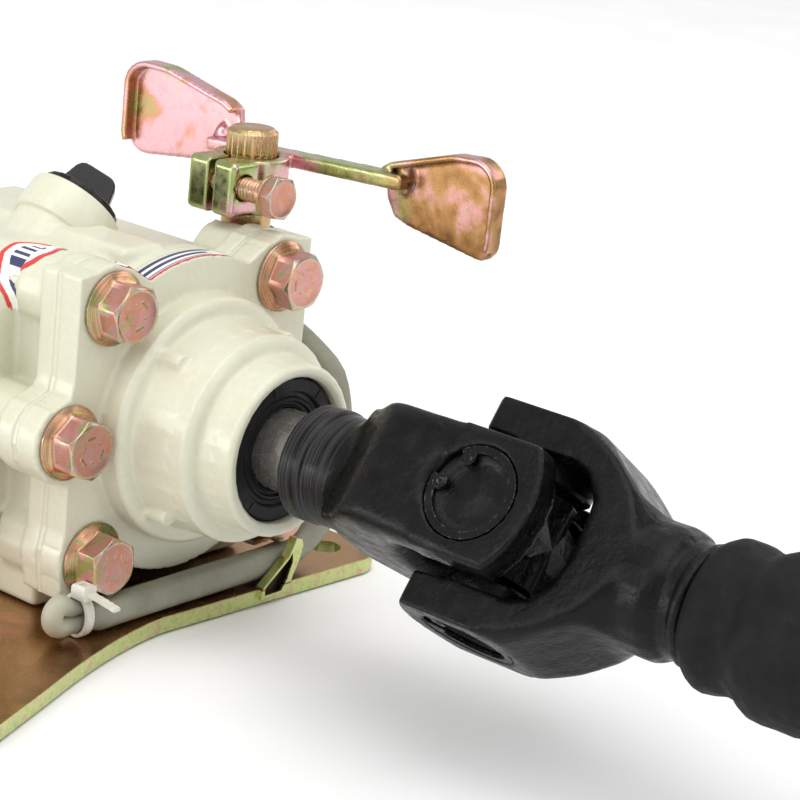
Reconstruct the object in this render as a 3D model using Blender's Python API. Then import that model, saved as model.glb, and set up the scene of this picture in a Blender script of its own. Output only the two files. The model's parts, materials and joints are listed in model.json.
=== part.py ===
"""Right angle bevel reversing gearbox with rocker shift pedal, universal joint and vent hose.

Frame: metres, +Z up.  The origin is on the underside of the base plate, right below the
point where the input and output shaft axes cross.  The output shaft runs along +X and
the input shaft along -Y.
"""
import math

import bmesh
import bpy
from mathutils import Matrix, Vector

MM = 0.001
GAP = 0.3                      # running clearance between touching pieces, mm
WELD = 0.001                   # vertices nearer than this are one, mm

# ---- driving dimensions, mm -------------------------------------------------------
SHAFT_Z = 50.0                 # shaft height over the mounting face
PLATE_TOP = 4.0                # base plate thickness
PARTING_X = 48.0               # joint face between housing and output cover
COVER_FACE_X = 55.0            # bolt seats of the output cover
STEP_ONE = (62.0, 30.5)        # X and radius of the first cover step
STEP_TWO = (78.5, 25.5)        # X and radius of the second cover step
NOSE = (88.0, 21.0)            # X and radius of the seal nose
BODY_RADIUS = 39.2             # round part of the cover flange
LOBE_RADIUS = 10.3             # lobes around the cover bolts
# cover bolt places, (y, z) from the output axis, going round from the upper near lobe
COVER_BOLTS = ((-28.7, 30.8), (-40.1, 0.4), (-30.3, -30.2), (30.3, -30.2), (39.3, -6.4), (28.7, 30.8))

BODY_BACK_X = -48.0            # far end of the housing
BODY_HALF_Y = 35.0
BODY_LOW_Z = 12.0
BODY_TOP_Z = 82.5              # lower top at the far side
BODY_RIDGE_Z = 88.0            # raised top at the near side
CAVITY_HALF = 31.0
CAVITY_TOP_Z = 79.0

SHAFT_R = 9.7                  # 20 mm shafts, less the running clearance
BEARING_20 = (10.0, 23.5, 14.0)    # bore radius, outer radius, width of a 6204
BEARING_17 = (8.5, 20.0, 12.0)     # the same for a 6203
SEAL_20 = (17.5, 7.0)          # outer radius and width of a 20x35x7 seal

GEAR_TEETH = 16
PITCH_R = 24.0                 # mitre gear pitch radius at the heel
FACE_WIDTH = 8.0

SHIFT_XY = (33.4, 38.0)        # vertical shift shaft
SHIFT_BOSS_TOP = 85.0
SHIFT_TOP = 112.8
SHIFT_R = 6.25
CRANK_RADIUS = 14.0
PINCH_OFFSET = 9.9             # pinch bolt from the shift shaft axis
FORK_RAIL = (25.0, 68.0)       # y, z of the fork rail
FORK_RAIL_R = 3.2
DRAIN_Z = 22.5
BARB_XZ = (14.0, 62.0)

CROSS_X = 155.2                # centre of the universal joint
CROSS_CLOCK = math.radians(35.8)   # the driving ears are turned this far about the shaft
EAR_OUT = 25.5
EAR_IN = 17.5
EAR_HALF_WIDTH = 14.7
CAP_R = 11.0
CROTCH_SQUARENESS = 3.4        # superellipse exponent of the yokes' crotches

FILLER_TOP = (12.5, -0.6, 92.6) # centre of the filler boss face
FILLER_DIR = Vector((0.0, math.sqrt(0.5), math.sqrt(0.5)))
FILLER_R = 11.3

FINE = 32                      # sides of the large round shapes that show
ROUND = 20                     # sides of a round shape
SMALL = 12                     # sides of a small round shape
HOLE = 8                       # sides of a drilled hole


# ---- materials ---------------------------------------------------------------------
def make_material(name, colour, roughness, metallic):
    material = bpy.data.materials.new(name)
    material.use_nodes = True
    shader = material.node_tree.nodes["Principled BSDF"]
    shader.inputs["Base Color"].default_value = (*colour, 1.0)
    shader.inputs["Roughness"].default_value = roughness
    shader.inputs["Metallic"].default_value = metallic
    return material


def make_materials():
    return {
        "cream_paint": make_material("cream_paint", (0.70, 0.68, 0.52), 0.35, 0.0),
        "black_paint": make_material("black_paint", (0.02, 0.02, 0.022), 0.40, 0.0),
        "yellow_zinc": make_material("yellow_zinc", (0.62, 0.42, 0.25), 0.30, 1.0),
        "ground_steel": make_material("ground_steel", (0.56, 0.54, 0.50), 0.25, 1.0),
        "gear_steel": make_material("gear_steel", (0.40, 0.40, 0.42), 0.35, 1.0),
        "bearing_steel": make_material("bearing_steel", (0.62, 0.62, 0.64), 0.20, 1.0),
        "bronze": make_material("bronze", (0.55, 0.35, 0.15), 0.35, 1.0),
        "rubber": make_material("rubber", (0.03, 0.03, 0.03), 0.60, 0.0),
        "hose": make_material("hose", (0.27, 0.27, 0.21), 0.50, 0.0),
        "black_plastic": make_material("black_plastic", (0.02, 0.02, 0.025), 0.25, 0.0),
        "nylon": make_material("nylon", (0.75, 0.73, 0.64), 0.45, 0.0),
        "gasket_paper": make_material("gasket_paper", (0.35, 0.33, 0.26), 0.80, 0.0),
    }


MATERIALS = {}


# ---- shape helpers (all take millimetres) -------------------------------------------
def frame_along(direction, clock=0.0):
    """Rotation whose Z is the direction; clock turns it about that direction."""
    direction = Vector(direction).normalized()
    turn = direction.to_track_quat("Z", "Y").to_matrix().to_4x4()
    return turn @ Matrix.Rotation(clock, 4, "Z")


def finish_mesh(name, bm, material, origin=(0, 0, 0), sharp=35.0):
    """Turn a bmesh in millimetres into an object in metres with its own origin."""
    bmesh.ops.remove_doubles(bm, verts=bm.verts, dist=WELD)
    bmesh.ops.recalc_face_normals(bm, faces=bm.faces)
    bmesh.ops.translate(bm, verts=bm.verts, vec=-Vector(origin))
    bmesh.ops.scale(bm, verts=bm.verts, vec=(MM, MM, MM))
    mesh = bpy.data.meshes.new(name)
    bm.to_mesh(mesh)
    bm.free()
    mesh.shade_smooth()
    mesh.set_sharp_from_angle(angle=math.radians(sharp))
    obj = bpy.data.objects.new(name, mesh)
    obj.location = Vector(origin) * MM
    bpy.context.collection.objects.link(obj)
    if material:
        mesh.materials.append(MATERIALS[material])
    return obj


def lathe_bmesh(profile, place=(0, 0, 0), direction=(1, 0, 0), sides=ROUND, clock=0.0):
    """Spin a closed outline of (distance along the axis, radius) about the axis."""
    bm = bmesh.new()
    verts = [bm.verts.new((radius, 0.0, along)) for along, radius in profile]
    edges = [bm.edges.new((a, b)) for a, b in zip(verts, verts[1:] + verts[:1])
             if (a.co - b.co).length > 1e-6 and max(a.co.x, b.co.x) > 1e-6]
    bmesh.ops.spin(bm, geom=verts + edges, cent=(0, 0, 0), axis=(0, 0, 1), dvec=(0, 0, 0),
                   angle=2 * math.pi, steps=sides, use_merge=True, use_duplicate=False)
    bmesh.ops.remove_doubles(bm, verts=bm.verts, dist=WELD)
    loose = [vert for vert in bm.verts if not vert.link_faces]
    bmesh.ops.delete(bm, geom=loose, context="VERTS")
    bm.transform(Matrix.Translation(place) @ frame_along(direction, clock))
    return bm


def lathe(name, profile, material, place=(0, 0, 0), direction=(1, 0, 0), sides=ROUND, origin=(0, 0, 0),
          clock=0.0):
    return finish_mesh(name, lathe_bmesh(profile, place, direction, sides, clock), material, origin)


def rod_profile(start, end, radius):
    return [(start, 0.0), (start, radius), (end, radius), (end, 0.0)]


def tube_profile(start, end, inner, outer):
    return [(start, inner), (start, outer), (end, outer), (end, inner)]


def prism_bmesh(outline, start, end, transform=None):
    """Extrude a flat outline of (x, y) from z=start to z=end, then place it."""
    bm = bmesh.new()
    face = bm.faces.new([bm.verts.new((x, y, start)) for x, y in outline])
    moved = bmesh.ops.extrude_face_region(bm, geom=[face])["geom"]
    verts = [item for item in moved if isinstance(item, bmesh.types.BMVert)]
    bmesh.ops.translate(bm, verts=verts, vec=(0, 0, end - start))
    if transform:
        bm.transform(transform)
    return bm


def prism(name, outline, start, end, material, transform=None, origin=(0, 0, 0)):
    return finish_mesh(name, prism_bmesh(outline, start, end, transform), material, origin)


def box_bmesh(low, high, bevel=0.0, segments=2):
    bm = bmesh.new()
    bmesh.ops.create_cube(bm, size=1.0)
    low = Vector(low)
    high = Vector(high)
    bmesh.ops.scale(bm, verts=bm.verts, vec=high - low)
    bmesh.ops.translate(bm, verts=bm.verts, vec=(high + low) / 2)
    if bevel:
        bmesh.ops.bevel(bm, geom=bm.edges[:], offset=bevel, segments=segments, affect="EDGES", profile=0.5)
    return bm


def box(name, low, high, material, bevel=0.0, segments=2, origin=(0, 0, 0)):
    return finish_mesh(name, box_bmesh(low, high, bevel, segments), material, origin)


def combine(target, tool, operation):
    """Add a Boolean of the tool to the target and hide the tool as a guide."""
    tool.hide_render = True
    tool.hide_viewport = False
    tool.display_type = "WIRE"
    modifier = target.modifiers.new(tool.name, "BOOLEAN")
    modifier.operation = operation
    modifier.solver = "EXACT"
    modifier.object = tool
    return target


def cut(target, tool):
    return combine(target, tool, "DIFFERENCE")


def fuse(target, tool):
    return combine(target, tool, "UNION")


def ring_points(count, radius, phase=0.0, centre=(0.0, 0.0)):
    step = 2 * math.pi / count
    return [(centre[0] + radius * math.cos(phase + i * step), centre[1] + radius * math.sin(phase + i * step))
            for i in range(count)]


def arc_points(centre, radius, start, end, count):
    """Points of an arc, angles in degrees."""
    points = []
    for i in range(count):
        angle = math.radians(start + (end - start) * i / (count - 1))
        points.append((centre[0] + radius * math.cos(angle), centre[1] + radius * math.sin(angle)))
    return points


ALONG_X = Matrix(((0, 0, 1, 0), (1, 0, 0, 0), (0, 1, 0, 0), (0, 0, 0, 1)))   # outline in Y, Z


def at_shaft(x=0.0):
    return (x, 0.0, SHAFT_Z)


# ---- housing, cover and base ---------------------------------------------------------
def hull_outline(circles, samples=40):
    """Outer outline of a set of (x, y, radius) circles joined by their tangent lines."""
    points = []
    for x, y, radius in circles:
        points += ring_points(samples, radius, centre=(x, y))
    points.sort()

    def half(ordered):
        chain = []
        for point in ordered:
            while len(chain) > 1:
                (ax, ay), (bx, by) = chain[-2], chain[-1]
                if (bx - ax) * (point[1] - ay) - (by - ay) * (point[0] - ax) > 1e-6:
                    break
                chain.pop()
            chain.append(point)
        return chain[:-1]

    return half(points) + half(points[::-1])


def flange_outline(grow=0.0):
    """Round flange with lobes; the lobes at one side are joined by straight tangents."""
    outline = []
    for i in range(0, 360, 5):
        angle = math.radians(i)
        ray = (math.cos(angle), math.sin(angle))
        reach = BODY_RADIUS
        for y, z in COVER_BOLTS:
            along = y * ray[0] + z * ray[1]
            across = abs(y * ray[1] - z * ray[0])
            radius = LOBE_RADIUS
            if along > 0 and across < radius:
                reach = max(reach, along + math.sqrt(radius * radius - across * across))
        side = 39.2 / max(abs(ray[0]), 1e-6)
        if abs(ray[1] / max(abs(ray[0]), 1e-6)) < 1.05:
            reach = max(reach, side)
        outline.append(((reach + grow) * ray[0], (reach + grow) * ray[1] + SHAFT_Z))
    return outline


def make_housing():
    housing = prism("housing", flange_outline(), 42.0, PARTING_X - 0.4, "cream_paint", ALONG_X)
    low = (BODY_BACK_X, -BODY_HALF_Y, BODY_LOW_Z)
    high = (44.0, BODY_HALF_Y, BODY_TOP_Z)
    fuse(housing, box("housing_body", low, high, None, bevel=7.0))
    ridge_low = (BODY_BACK_X + 1.0, -BODY_HALF_Y + 1.0, 60.0)
    fuse(housing, box("housing_ridge", ridge_low, (43.0, 5.0, BODY_RIDGE_Z), None, bevel=6.0))
    for index, (y, z) in enumerate(COVER_BOLTS):
        boss = rod_profile(32.0, 44.0, LOBE_RADIUS - 0.8)
        fuse(housing, lathe(f"housing_boss_{index}", boss, None, (0, y, SHAFT_Z + z), sides=SMALL))
    shift_boss = [(54.0, 0), (54.0, 10.2), (55.0, 11.2), (SHIFT_BOSS_TOP - 1.5, 11.2),
                  (SHIFT_BOSS_TOP + 2, 8.0),
                  (SHIFT_BOSS_TOP + 2, 0)]
    fuse(housing, lathe("housing_shift_boss", shift_boss, None, (*SHIFT_XY, 0), (0, 0, 1), ROUND))
    top_rib = box("housing_top_rib", (-20.0, -16.0, 80.0), (45.0, -2.0, 90.3), None, bevel=1.5)
    fuse(housing, top_rib)
    filler = lathe("housing_filler_boss", rod_profile(-30.0, 2.0, FILLER_R), None, FILLER_TOP,
                   FILLER_DIR, ROUND)
    fuse(housing, filler)
    fuse(housing, prism("housing_input_boss", input_outline(), 30.0, 48.0, None, along_input()))
    for side in (-1, 1):
        low = (-44.0, min(side * 36.0, side * 18.0), PLATE_TOP + GAP)
        high = (43.0, max(side * 36.0, side * 18.0), 24.0)
        fuse(housing, box(f"housing_foot_{side}", low, high, None, bevel=1.0, segments=1))
    drain = lathe("housing_drain_boss", rod_profile(44.0, 51.0, 9.5), None, (0, 0, DRAIN_Z), (-1, 0, 0),
                  SMALL)
    fuse(housing, drain)
    barb_boss = lathe("housing_barb_boss", rod_profile(30.0, 38.0, 6.5), None,
                      (BARB_XZ[0], 0, BARB_XZ[1]), (0, 1, 0), SMALL)
    fuse(housing, barb_boss)

    low = (-31.0, -CAVITY_HALF, SHAFT_Z - CAVITY_HALF)
    high = (60.0, CAVITY_HALF, CAVITY_TOP_Z)
    cut(housing, box("cut_cavity", low, high, None, bevel=5.0))
    cut(housing, lathe("cut_rear_bearing", rod_profile(-43.6, -25.0, BEARING_17[1] + GAP), None, at_shaft()))
    cut(housing, lathe("cut_input_bore", rod_profile(25.0, 50.0, BEARING_20[1] + GAP), None, at_shaft(),
                       (0, -1, 0)))
    for index, (y, z) in enumerate(COVER_BOLTS):
        cut(housing, lathe(f"cut_cover_hole_{index}", rod_profile(36.5, 50.0, 4.3), None,
                           (0, y, SHAFT_Z + z), sides=HOLE))
    for index, (x, z) in enumerate(input_bolt_places()):
        cut(housing, lathe(f"cut_input_hole_{index}", rod_profile(36.5, 50.0, 3.3), None,
                           (x, 0, z), (0, -1, 0), HOLE))
    seat = [(72.0, 0), (72.0, SHIFT_R + 0.5), (SHIFT_BOSS_TOP, SHIFT_R + 0.5), (SHIFT_BOSS_TOP, 9.6),
            (95.0, 9.6), (95.0, 0)]
    cut(housing, lathe("cut_shift_seat", seat, None, (*SHIFT_XY, 0), (0, 0, 1)))
    cut(housing, prism("cut_crank_room", crank_room_outline(), 66.0, 80.4, None))
    mouth = [(-40.0, 0), (-40.0, 7.4), (0.0, 7.4), (0.0, 12.2), (25.0, 12.2), (25.0, 0)]
    cut(housing, lathe("cut_filler_mouth", mouth, None, FILLER_TOP, FILLER_DIR))
    rail_place = (0, *FORK_RAIL)
    cut(housing, lathe("cut_rail_hole", rod_profile(-38.0, -20.0, FORK_RAIL_R + 0.5), None, rail_place,
                       sides=SMALL))
    cut(housing, lathe("cut_drain_hole", rod_profile(25.0, 55.0, 5.8), None, (0, 0, DRAIN_Z), (-1, 0, 0),
                       HOLE))
    cut(housing, lathe("cut_barb_hole", rod_profile(25.0, 40.0, 3.3), None, (BARB_XZ[0], 0, BARB_XZ[1]),
                       (0, 1, 0), HOLE))
    for index, (x, y) in enumerate(base_screw_places()):
        cut(housing, lathe(f"cut_foot_hole_{index}", rod_profile(0.0, 16.0, 3.3), None, (x, y, 0),
                           (0, 0, 1), HOLE))
    return housing


def crank_room_outline():
    """Plan of the pocket through the side wall in which the shift crank swings."""
    x, y = SHIFT_XY
    return [(x - 8.0, 17.0), (x + 8.0, 17.0)] + arc_points((x, y), 7.6, 0, 180, 13)


def make_output_cover():
    outer = [(PARTING_X + 3, 0), (PARTING_X + 3, STEP_ONE[1] + 0.4), (STEP_ONE[0] - 1.6, STEP_ONE[1]),
             (STEP_ONE[0] - 0.5, STEP_ONE[1] - 0.5), (STEP_ONE[0], STEP_ONE[1] - 1.6),
             (STEP_ONE[0], STEP_TWO[1] + 0.9), (STEP_TWO[0] - 2.4, STEP_TWO[1]),
             (STEP_TWO[0] - 0.7, STEP_TWO[1] - 0.7), (STEP_TWO[0], STEP_TWO[1] - 2.4),
             (STEP_TWO[0], NOSE[1] + 0.4), (NOSE[0] - 0.9, NOSE[1]), (NOSE[0], NOSE[1] - 0.8), (NOSE[0], 0)]
    cover = prism("output_cover", flange_outline(), PARTING_X + 0.4, COVER_FACE_X, "cream_paint", ALONG_X)
    fuse(cover, lathe("cover_steps", outer, None, at_shaft(), sides=FINE))
    for index, (y, z) in enumerate(COVER_BOLTS):
        if abs(z) < 5:
            continue
        length = math.hypot(y, z)
        inward = 26.4 / length
        rib = rod_profile(PARTING_X + 4, 68.5, 2.1)
        fuse(cover, lathe(f"cover_rib_{index}", rib, None, (0, y * inward, SHAFT_Z + z * inward), sides=HOLE))
    inner = [(40.0, 0), (40.0, BEARING_20[1] + GAP), (PARTING_X + BEARING_20[2] - 0.4, BEARING_20[1] + GAP),
             (PARTING_X + BEARING_20[2] - 0.4, 13.5), (NOSE[0] - 10.5, 13.5),
              (NOSE[0] - 10.5, SEAL_20[0] + GAP),
             (NOSE[0] - 1.0, SEAL_20[0] + GAP), (NOSE[0] + 1.0, SEAL_20[0] + 2.3), (NOSE[0] + 1.0, 0)]
    cut(cover, lathe("cut_cover_bore", inner, None, at_shaft(), sides=28))
    for index, (y, z) in enumerate(COVER_BOLTS):
        cut(cover, lathe(f"cut_cover_clear_{index}", rod_profile(40.0, 60.0, 4.5), None,
                         (0, y, SHAFT_Z + z), sides=HOLE))
    cut_rail_end(cover)
    return cover


def cut_rail_end(piece):
    """Blind hole for the end of the fork rail."""
    hole = rod_profile(PARTING_X - 4.0, PARTING_X + 5.6, FORK_RAIL_R + 0.5)
    cut(piece, lathe(f"cut_{piece.name}_rail", hole, None, (0, *FORK_RAIL), sides=SMALL))


def make_gasket():
    gasket = prism("cover_gasket", flange_outline(-0.2), PARTING_X - 0.1, PARTING_X + 0.1,
                   "gasket_paper", ALONG_X)
    low = (PARTING_X - 5, -CAVITY_HALF + 7, SHAFT_Z - CAVITY_HALF + 7)
    high = (PARTING_X + 5, CAVITY_HALF - 7, SHAFT_Z + CAVITY_HALF - 7)
    cut(gasket, box("cut_gasket_window", low, high, None))
    for index, (y, z) in enumerate(COVER_BOLTS):
        cut(gasket, lathe(f"cut_gasket_hole_{index}", rod_profile(40.0, 60.0, 4.5), None,
                          (0, y, SHAFT_Z + z), sides=HOLE))
    cut_rail_end(gasket)
    return gasket


def plate_outline():
    """Plan of the base plate: a straight back, and a front edge that flares out at the near side."""
    front = arc_points((81.5, -88.0), 6.0, -90, -10, 5)
    for i in range(9):
        y = -62.0 + i * 6.0
        front.append((65.0 + 0.038 * (-14.0 - y) ** 1.5, y))
    corner = arc_points((60.4, 57.0), 8.0, 0, 90, 5)
    back = arc_points((-48.0, 57.0), 8.0, 90, 180, 5) + arc_points((-48.0, -86.0), 8.0, 180, 270, 5)
    return front + corner + back


def make_base_plate():
    plate = prism("base_plate", plate_outline(), 0.0, PLATE_TOP, "yellow_zinc")
    tab = [(17.6, 1.6), (18.2, 4.6), (20.4, 6.3), (23.2, 8.4), (26.6, 10.9), (28.0, 13.2), (29.2, 15.6),
           (31.3, 15.0), (32.0, 13.0), (30.9, 9.4), (29.1, 6.0), (27.4, 1.6)]
    fuse(plate, prism("plate_tab", tab, 65.3, 67.8, None, ALONG_X))
    dish = [(18.9, 2.4), (18.9, 4.4), (20.8, 5.9), (23.6, 7.9), (26.9, 10.4), (28.2, 12.0), (28.5, 9.4),
            (27.0, 5.4), (24.9, 2.4)]
    cut(plate, prism("cut_plate_tab", dish, 66.3, 70.0, None, ALONG_X))
    for index, (x, y) in enumerate(((56.0, 54.5), (-46.0, 54.5), (-46.0, -83.5), (56.0, -83.5))):
        cut(plate, lathe(f"cut_plate_hole_{index}", rod_profile(-1, 6, 4.5), None, (x, y, 0), (0, 0, 1),
                         SMALL))
    for index, (x, y) in enumerate(base_screw_places()):
        sink = [(-1.0, 0), (-1.0, 6.9), (0.0, 6.4), (3.3, 3.3), (6.0, 3.3), (6.0, 0)]
        cut(plate, lathe(f"cut_plate_sink_{index}", sink, None, (x, y, 0), (0, 0, 1), 16))
    return plate


def base_screw_places():
    return [(x, y) for x in (-34.0, 32.0) for y in (-27.0, 27.0)]


def input_bolt_places():
    return ring_points(4, 33.0, math.pi / 4, (0.0, SHAFT_Z))


def input_outline():
    """Square outline with round corners shared by the input boss and its cover."""
    return hull_outline([(x, y, 7.2) for x, y in ring_points(4, 33.0, math.pi / 4)], 16)


def along_input():
    """Placing of an outline that is extruded out along the input shaft."""
    return Matrix.Translation(at_shaft()) @ frame_along((0, -1, 0))


# ---- fasteners -------------------------------------------------------------------------
def hex_outline(across_flats, clock=0.0):
    return ring_points(6, across_flats / math.sqrt(3), clock)


def make_flange_bolt(name, place, direction, size, clock, origin=(0, 0, 0), material="yellow_zinc"):
    """Hexagon flange bolt; place is the centre of its seat, direction points out of the head."""
    shank, across_flats, flange, head, length = size
    stack = [(-length, 0), (-length, shank), (GAP, shank), (GAP, flange), (GAP + 0.9, flange),
             (GAP + 2.3, across_flats / 2 * 0.93), (GAP + 2.3, 0)]
    bolt = lathe(name, stack, material, place, direction, SMALL, origin)
    hexagon = prism_bmesh(hex_outline(across_flats, clock), GAP + 1.2, head)
    dome = lathe_bmesh([(0, 0), (0, across_flats),
                        (head - 1.2 + across_flats * 0.05, across_flats / 2 * 1.155),
                        (head, across_flats / 2 * 0.95), (head, 0)], (0, 0, 0), (0, 0, 1), 12)
    crown = finish_mesh(name + "_crown", dome, None)
    nut = finish_mesh(name + "_hex", hexagon, None)
    placing = Matrix.Translation(Vector(place) * MM) @ frame_along(direction)
    crown.matrix_world = placing
    nut.matrix_world = placing
    combine(nut, crown, "INTERSECT")
    fuse(bolt, nut)
    return bolt


M8_FLANGE = (4.0, 13.0, 8.95, 8.2, 14.3)
M6_FLANGE = (3.0, 10.0, 6.6, 6.0, 14.0)


# ---- rotating parts ---------------------------------------------------------------------
def spline_outline(count, root, tip, phase=0.0, share=0.5):
    outline = []
    step = 2 * math.pi / count
    for i in range(count):
        centre = phase + i * step
        low = (centre - step * share * 0.62, root)
        outline += [low, (centre - step * share / 2, tip), (centre + step * share / 2, tip),
                    (centre + step * share * 0.62, root)]
    return [(radius * math.cos(angle), radius * math.sin(angle)) for angle, radius in outline]


def gear_tooth_section(scale):
    """Half width and radius of a tooth at tip, pitch and root, for a slice scaled to the apex."""
    module = 2 * PITCH_R / GEAR_TEETH
    tip = PITCH_R + 0.50 * module * math.cos(math.pi / 4)
    root = PITCH_R - 0.85 * module * math.cos(math.pi / 4)
    pitch_angle = 2 * math.pi / GEAR_TEETH
    return [(radius * scale, pitch_angle * share) for radius, share in ((root, 0.27), (tip, 0.11))]


def make_bevel_gear(name, direction, hub_back, bore, clock, dogs):
    """Mitre gear: its cone apex is the shaft crossing and its teeth face that point."""
    module = 2 * PITCH_R / GEAR_TEETH
    toe_scale = (PITCH_R - FACE_WIDTH * math.sin(math.pi / 4)) / PITCH_R
    origin = at_shaft()
    place = Matrix.Translation(origin) @ frame_along(direction, clock)
    bm = bmesh.new()
    rings = []
    for scale in (toe_scale, 1.0):
        (root_r, root_w), (tip_r, tip_w) = gear_tooth_section(scale)
        drop_tip = -0.50 * module * math.sin(math.pi / 4) * scale
        drop_root = 0.85 * module * math.sin(math.pi / 4) * scale
        ring = []
        for i in range(GEAR_TEETH):
            centre = 2 * math.pi * i / GEAR_TEETH
            for radius, angle, drop in ((root_r, -root_w, drop_root), (tip_r, -tip_w, drop_tip),
                                        (tip_r, tip_w, drop_tip), (root_r, root_w, drop_root)):
                point = (radius * math.cos(centre + angle), radius * math.sin(centre + angle),
                         PITCH_R * scale + drop)
                ring.append(bm.verts.new(point))
        rings.append(ring)
    count = len(rings[0])
    for i in range(count):
        j = (i + 1) % count
        bm.faces.new((rings[0][i], rings[0][j], rings[1][j], rings[1][i]))
    toe_face = PITCH_R * toe_scale - 1.2
    back_face = hub_back
    inner_toe = [bm.verts.new((bore * math.cos(a), bore * math.sin(a), toe_face)) for a in gear_angles(count)]
    heel = [bm.verts.new((20.5 * math.cos(a), 20.5 * math.sin(a), PITCH_R + 4.6)) for a in gear_angles(count)]
    hub_end = [bm.verts.new((14.0 * math.cos(a), 14.0 * math.sin(a), back_face)) for a in gear_angles(count)]
    inner_end = [bm.verts.new((bore * math.cos(a), bore * math.sin(a), back_face))
                 for a in gear_angles(count)]
    loops = [rings[0], inner_toe, inner_end, hub_end, heel, rings[1]]
    for first, second in zip(loops, loops[1:]):
        for i in range(count):
            j = (i + 1) % count
            bm.faces.new((first[i], first[j], second[j], second[i]))
    bm.transform(place)
    gear = finish_mesh(name, bm, "gear_steel", origin, sharp=25.0)
    if dogs:
        for i in range(4):
            lug = dog_lug(f"{name}_lug_{i}", 45 + 90 * i, 11.5, toe_face + 1.0, direction)
            fuse(gear, lug)
    return gear


def gear_angles(count):
    """Angles of the smooth rings, matched to the four points of each tooth."""
    angles = []
    for i in range(count // 4):
        centre = 2 * math.pi * i / (count // 4)
        pitch = 2 * math.pi / (count // 4)
        angles += [centre + pitch * share for share in (-0.375, -0.125, 0.125, 0.375)]
    return angles


def dog_lug(name, degrees, start, end, direction):
    """One claw of the dog clutch, a sector between radii 10.7 and 12.9."""
    half = 19.0
    outline = arc_points((0, 0), 12.9, degrees - half, degrees + half, 3)
    outline += arc_points((0, 0), 10.7, degrees + half, degrees - half, 3)
    transform = Matrix.Translation(at_shaft()) @ frame_along(direction)
    return prism(name, outline, start, end, None, transform)


def make_dog_clutch():
    """Sleeve with claws on both ends and a groove for the fork."""
    bore = spline_outline(6, SHAFT_R + GAP, SHAFT_R + 0.55 + GAP, share=0.54)
    profile = [(-5.0, 8.0), (-5.0, 13.2), (-2.4, 13.2), (-2.4, 11.8), (2.4, 11.8), (2.4, 13.2), (5.0, 13.2),
               (5.0, 8.0)]
    sleeve = lathe("dog_clutch", profile, "gear_steel", at_shaft(), origin=at_shaft())
    for side in (-1, 1):
        for i in range(4):
            lug = dog_lug(f"dog_lug_{side}_{i}", 90 * i, 4.0, 8.5, (side, 0, 0))
            fuse(sleeve, lug)
    transform = Matrix.Translation(at_shaft()) @ frame_along((1, 0, 0))
    cut(sleeve, prism("cut_dog_bore", bore, -12.0, 12.0, None, transform))
    return sleeve


def make_output_shaft():
    profile = [(-42.5, 0), (-42.5, 7.4), (-41.7, 8.2), (-30.4, 8.2), (-30.4, SHAFT_R), (120.4, SHAFT_R),
               (121.6, SHAFT_R - 1.2), (121.6, 0)]
    shaft = lathe("output_shaft", profile, "ground_steel", at_shaft(), origin=at_shaft())
    transform = Matrix.Translation(at_shaft()) @ frame_along((1, 0, 0))
    splines = spline_outline(6, SHAFT_R - 0.4, SHAFT_R + 0.55, share=0.46)
    fuse(shaft, prism("output_splines", splines, -14.8, 14.8, None, transform))
    return shaft


def make_input_shaft():
    profile = [(15.8, 0), (15.8, 8.9), (16.6, SHAFT_R), (85.0, SHAFT_R), (86.2, SHAFT_R - 1.2), (86.2, 0)]
    shaft = lathe("input_shaft", profile, "ground_steel", at_shaft(), (0, -1, 0), origin=at_shaft())
    grooves = spline_outline(12, SHAFT_R - 1.0, SHAFT_R + 2.0, share=0.42)
    transform = Matrix.Translation(at_shaft()) @ frame_along((0, -1, 0))
    for index, (first, second) in enumerate(zip(grooves[3::4], grooves[4::4] + grooves[:1])):
        mid = (Vector(first) + Vector(second)) / 2
        angle = math.atan2(mid.y, mid.x)
        half = 0.10
        sector = arc_points((0, 0), SHAFT_R - 0.9, math.degrees(angle - half), math.degrees(angle + half), 2)
        sector += arc_points((0, 0), SHAFT_R + 2, math.degrees(angle + half), math.degrees(angle - half), 2)
        cut(shaft, prism(f"cut_input_spline_{index}", sector, 64.0, 90.0, None, transform))
    return shaft


def make_bearing(name, size, start, direction):
    """Ball bearing drawn as one ring with a recessed shield."""
    bore, outer, width = size
    middle = (bore + outer) / 2
    third = (outer - bore) * 0.22
    near = start
    far = start + width
    profile = [(near, bore), (near, middle - third), (near + 0.8, middle - third),
               (near + 0.8, middle + third),
               (near, middle + third), (near, outer), (far, outer), (far, bore)]
    return lathe(name, profile, "bearing_steel", at_shaft(), direction)


def make_seal(name, start, direction):
    """Lip seal: a shell with a garter lip that clears the shaft."""
    outer, width = SEAL_20
    profile = [(start, SHAFT_R + 2.8), (start, outer), (start + width, outer), (start + width, outer - 2.2),
               (start + width - 1.0, outer - 2.8), (start + width - 1.0, SHAFT_R + 2.4),
               (start + width - 0.2, SHAFT_R + GAP), (start + width - 1.2, SHAFT_R + GAP),
               (start + 2.0, SHAFT_R + 1.6)]
    return lathe(name, profile, "rubber", at_shaft(), direction, ROUND)


# ---- universal joint ----------------------------------------------------------------------
def joint_frame(quarter=0):
    """Frame at the joint centre: X along the shaft, Y along the ears of the driving yoke."""
    angle = CROSS_CLOCK + quarter * math.pi / 2
    ears = Vector((0, -math.cos(angle), math.sin(angle)))
    along = Vector((1, 0, 0))
    side = along.cross(ears)
    rotation = Matrix((along, ears, side)).transposed().to_4x4()
    return Matrix.Translation((CROSS_X, 0, SHAFT_Z)) @ rotation


def ear_axis(quarter=0):
    angle = CROSS_CLOCK + quarter * math.pi / 2
    return Vector((0, -math.cos(angle), math.sin(angle)))


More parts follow.
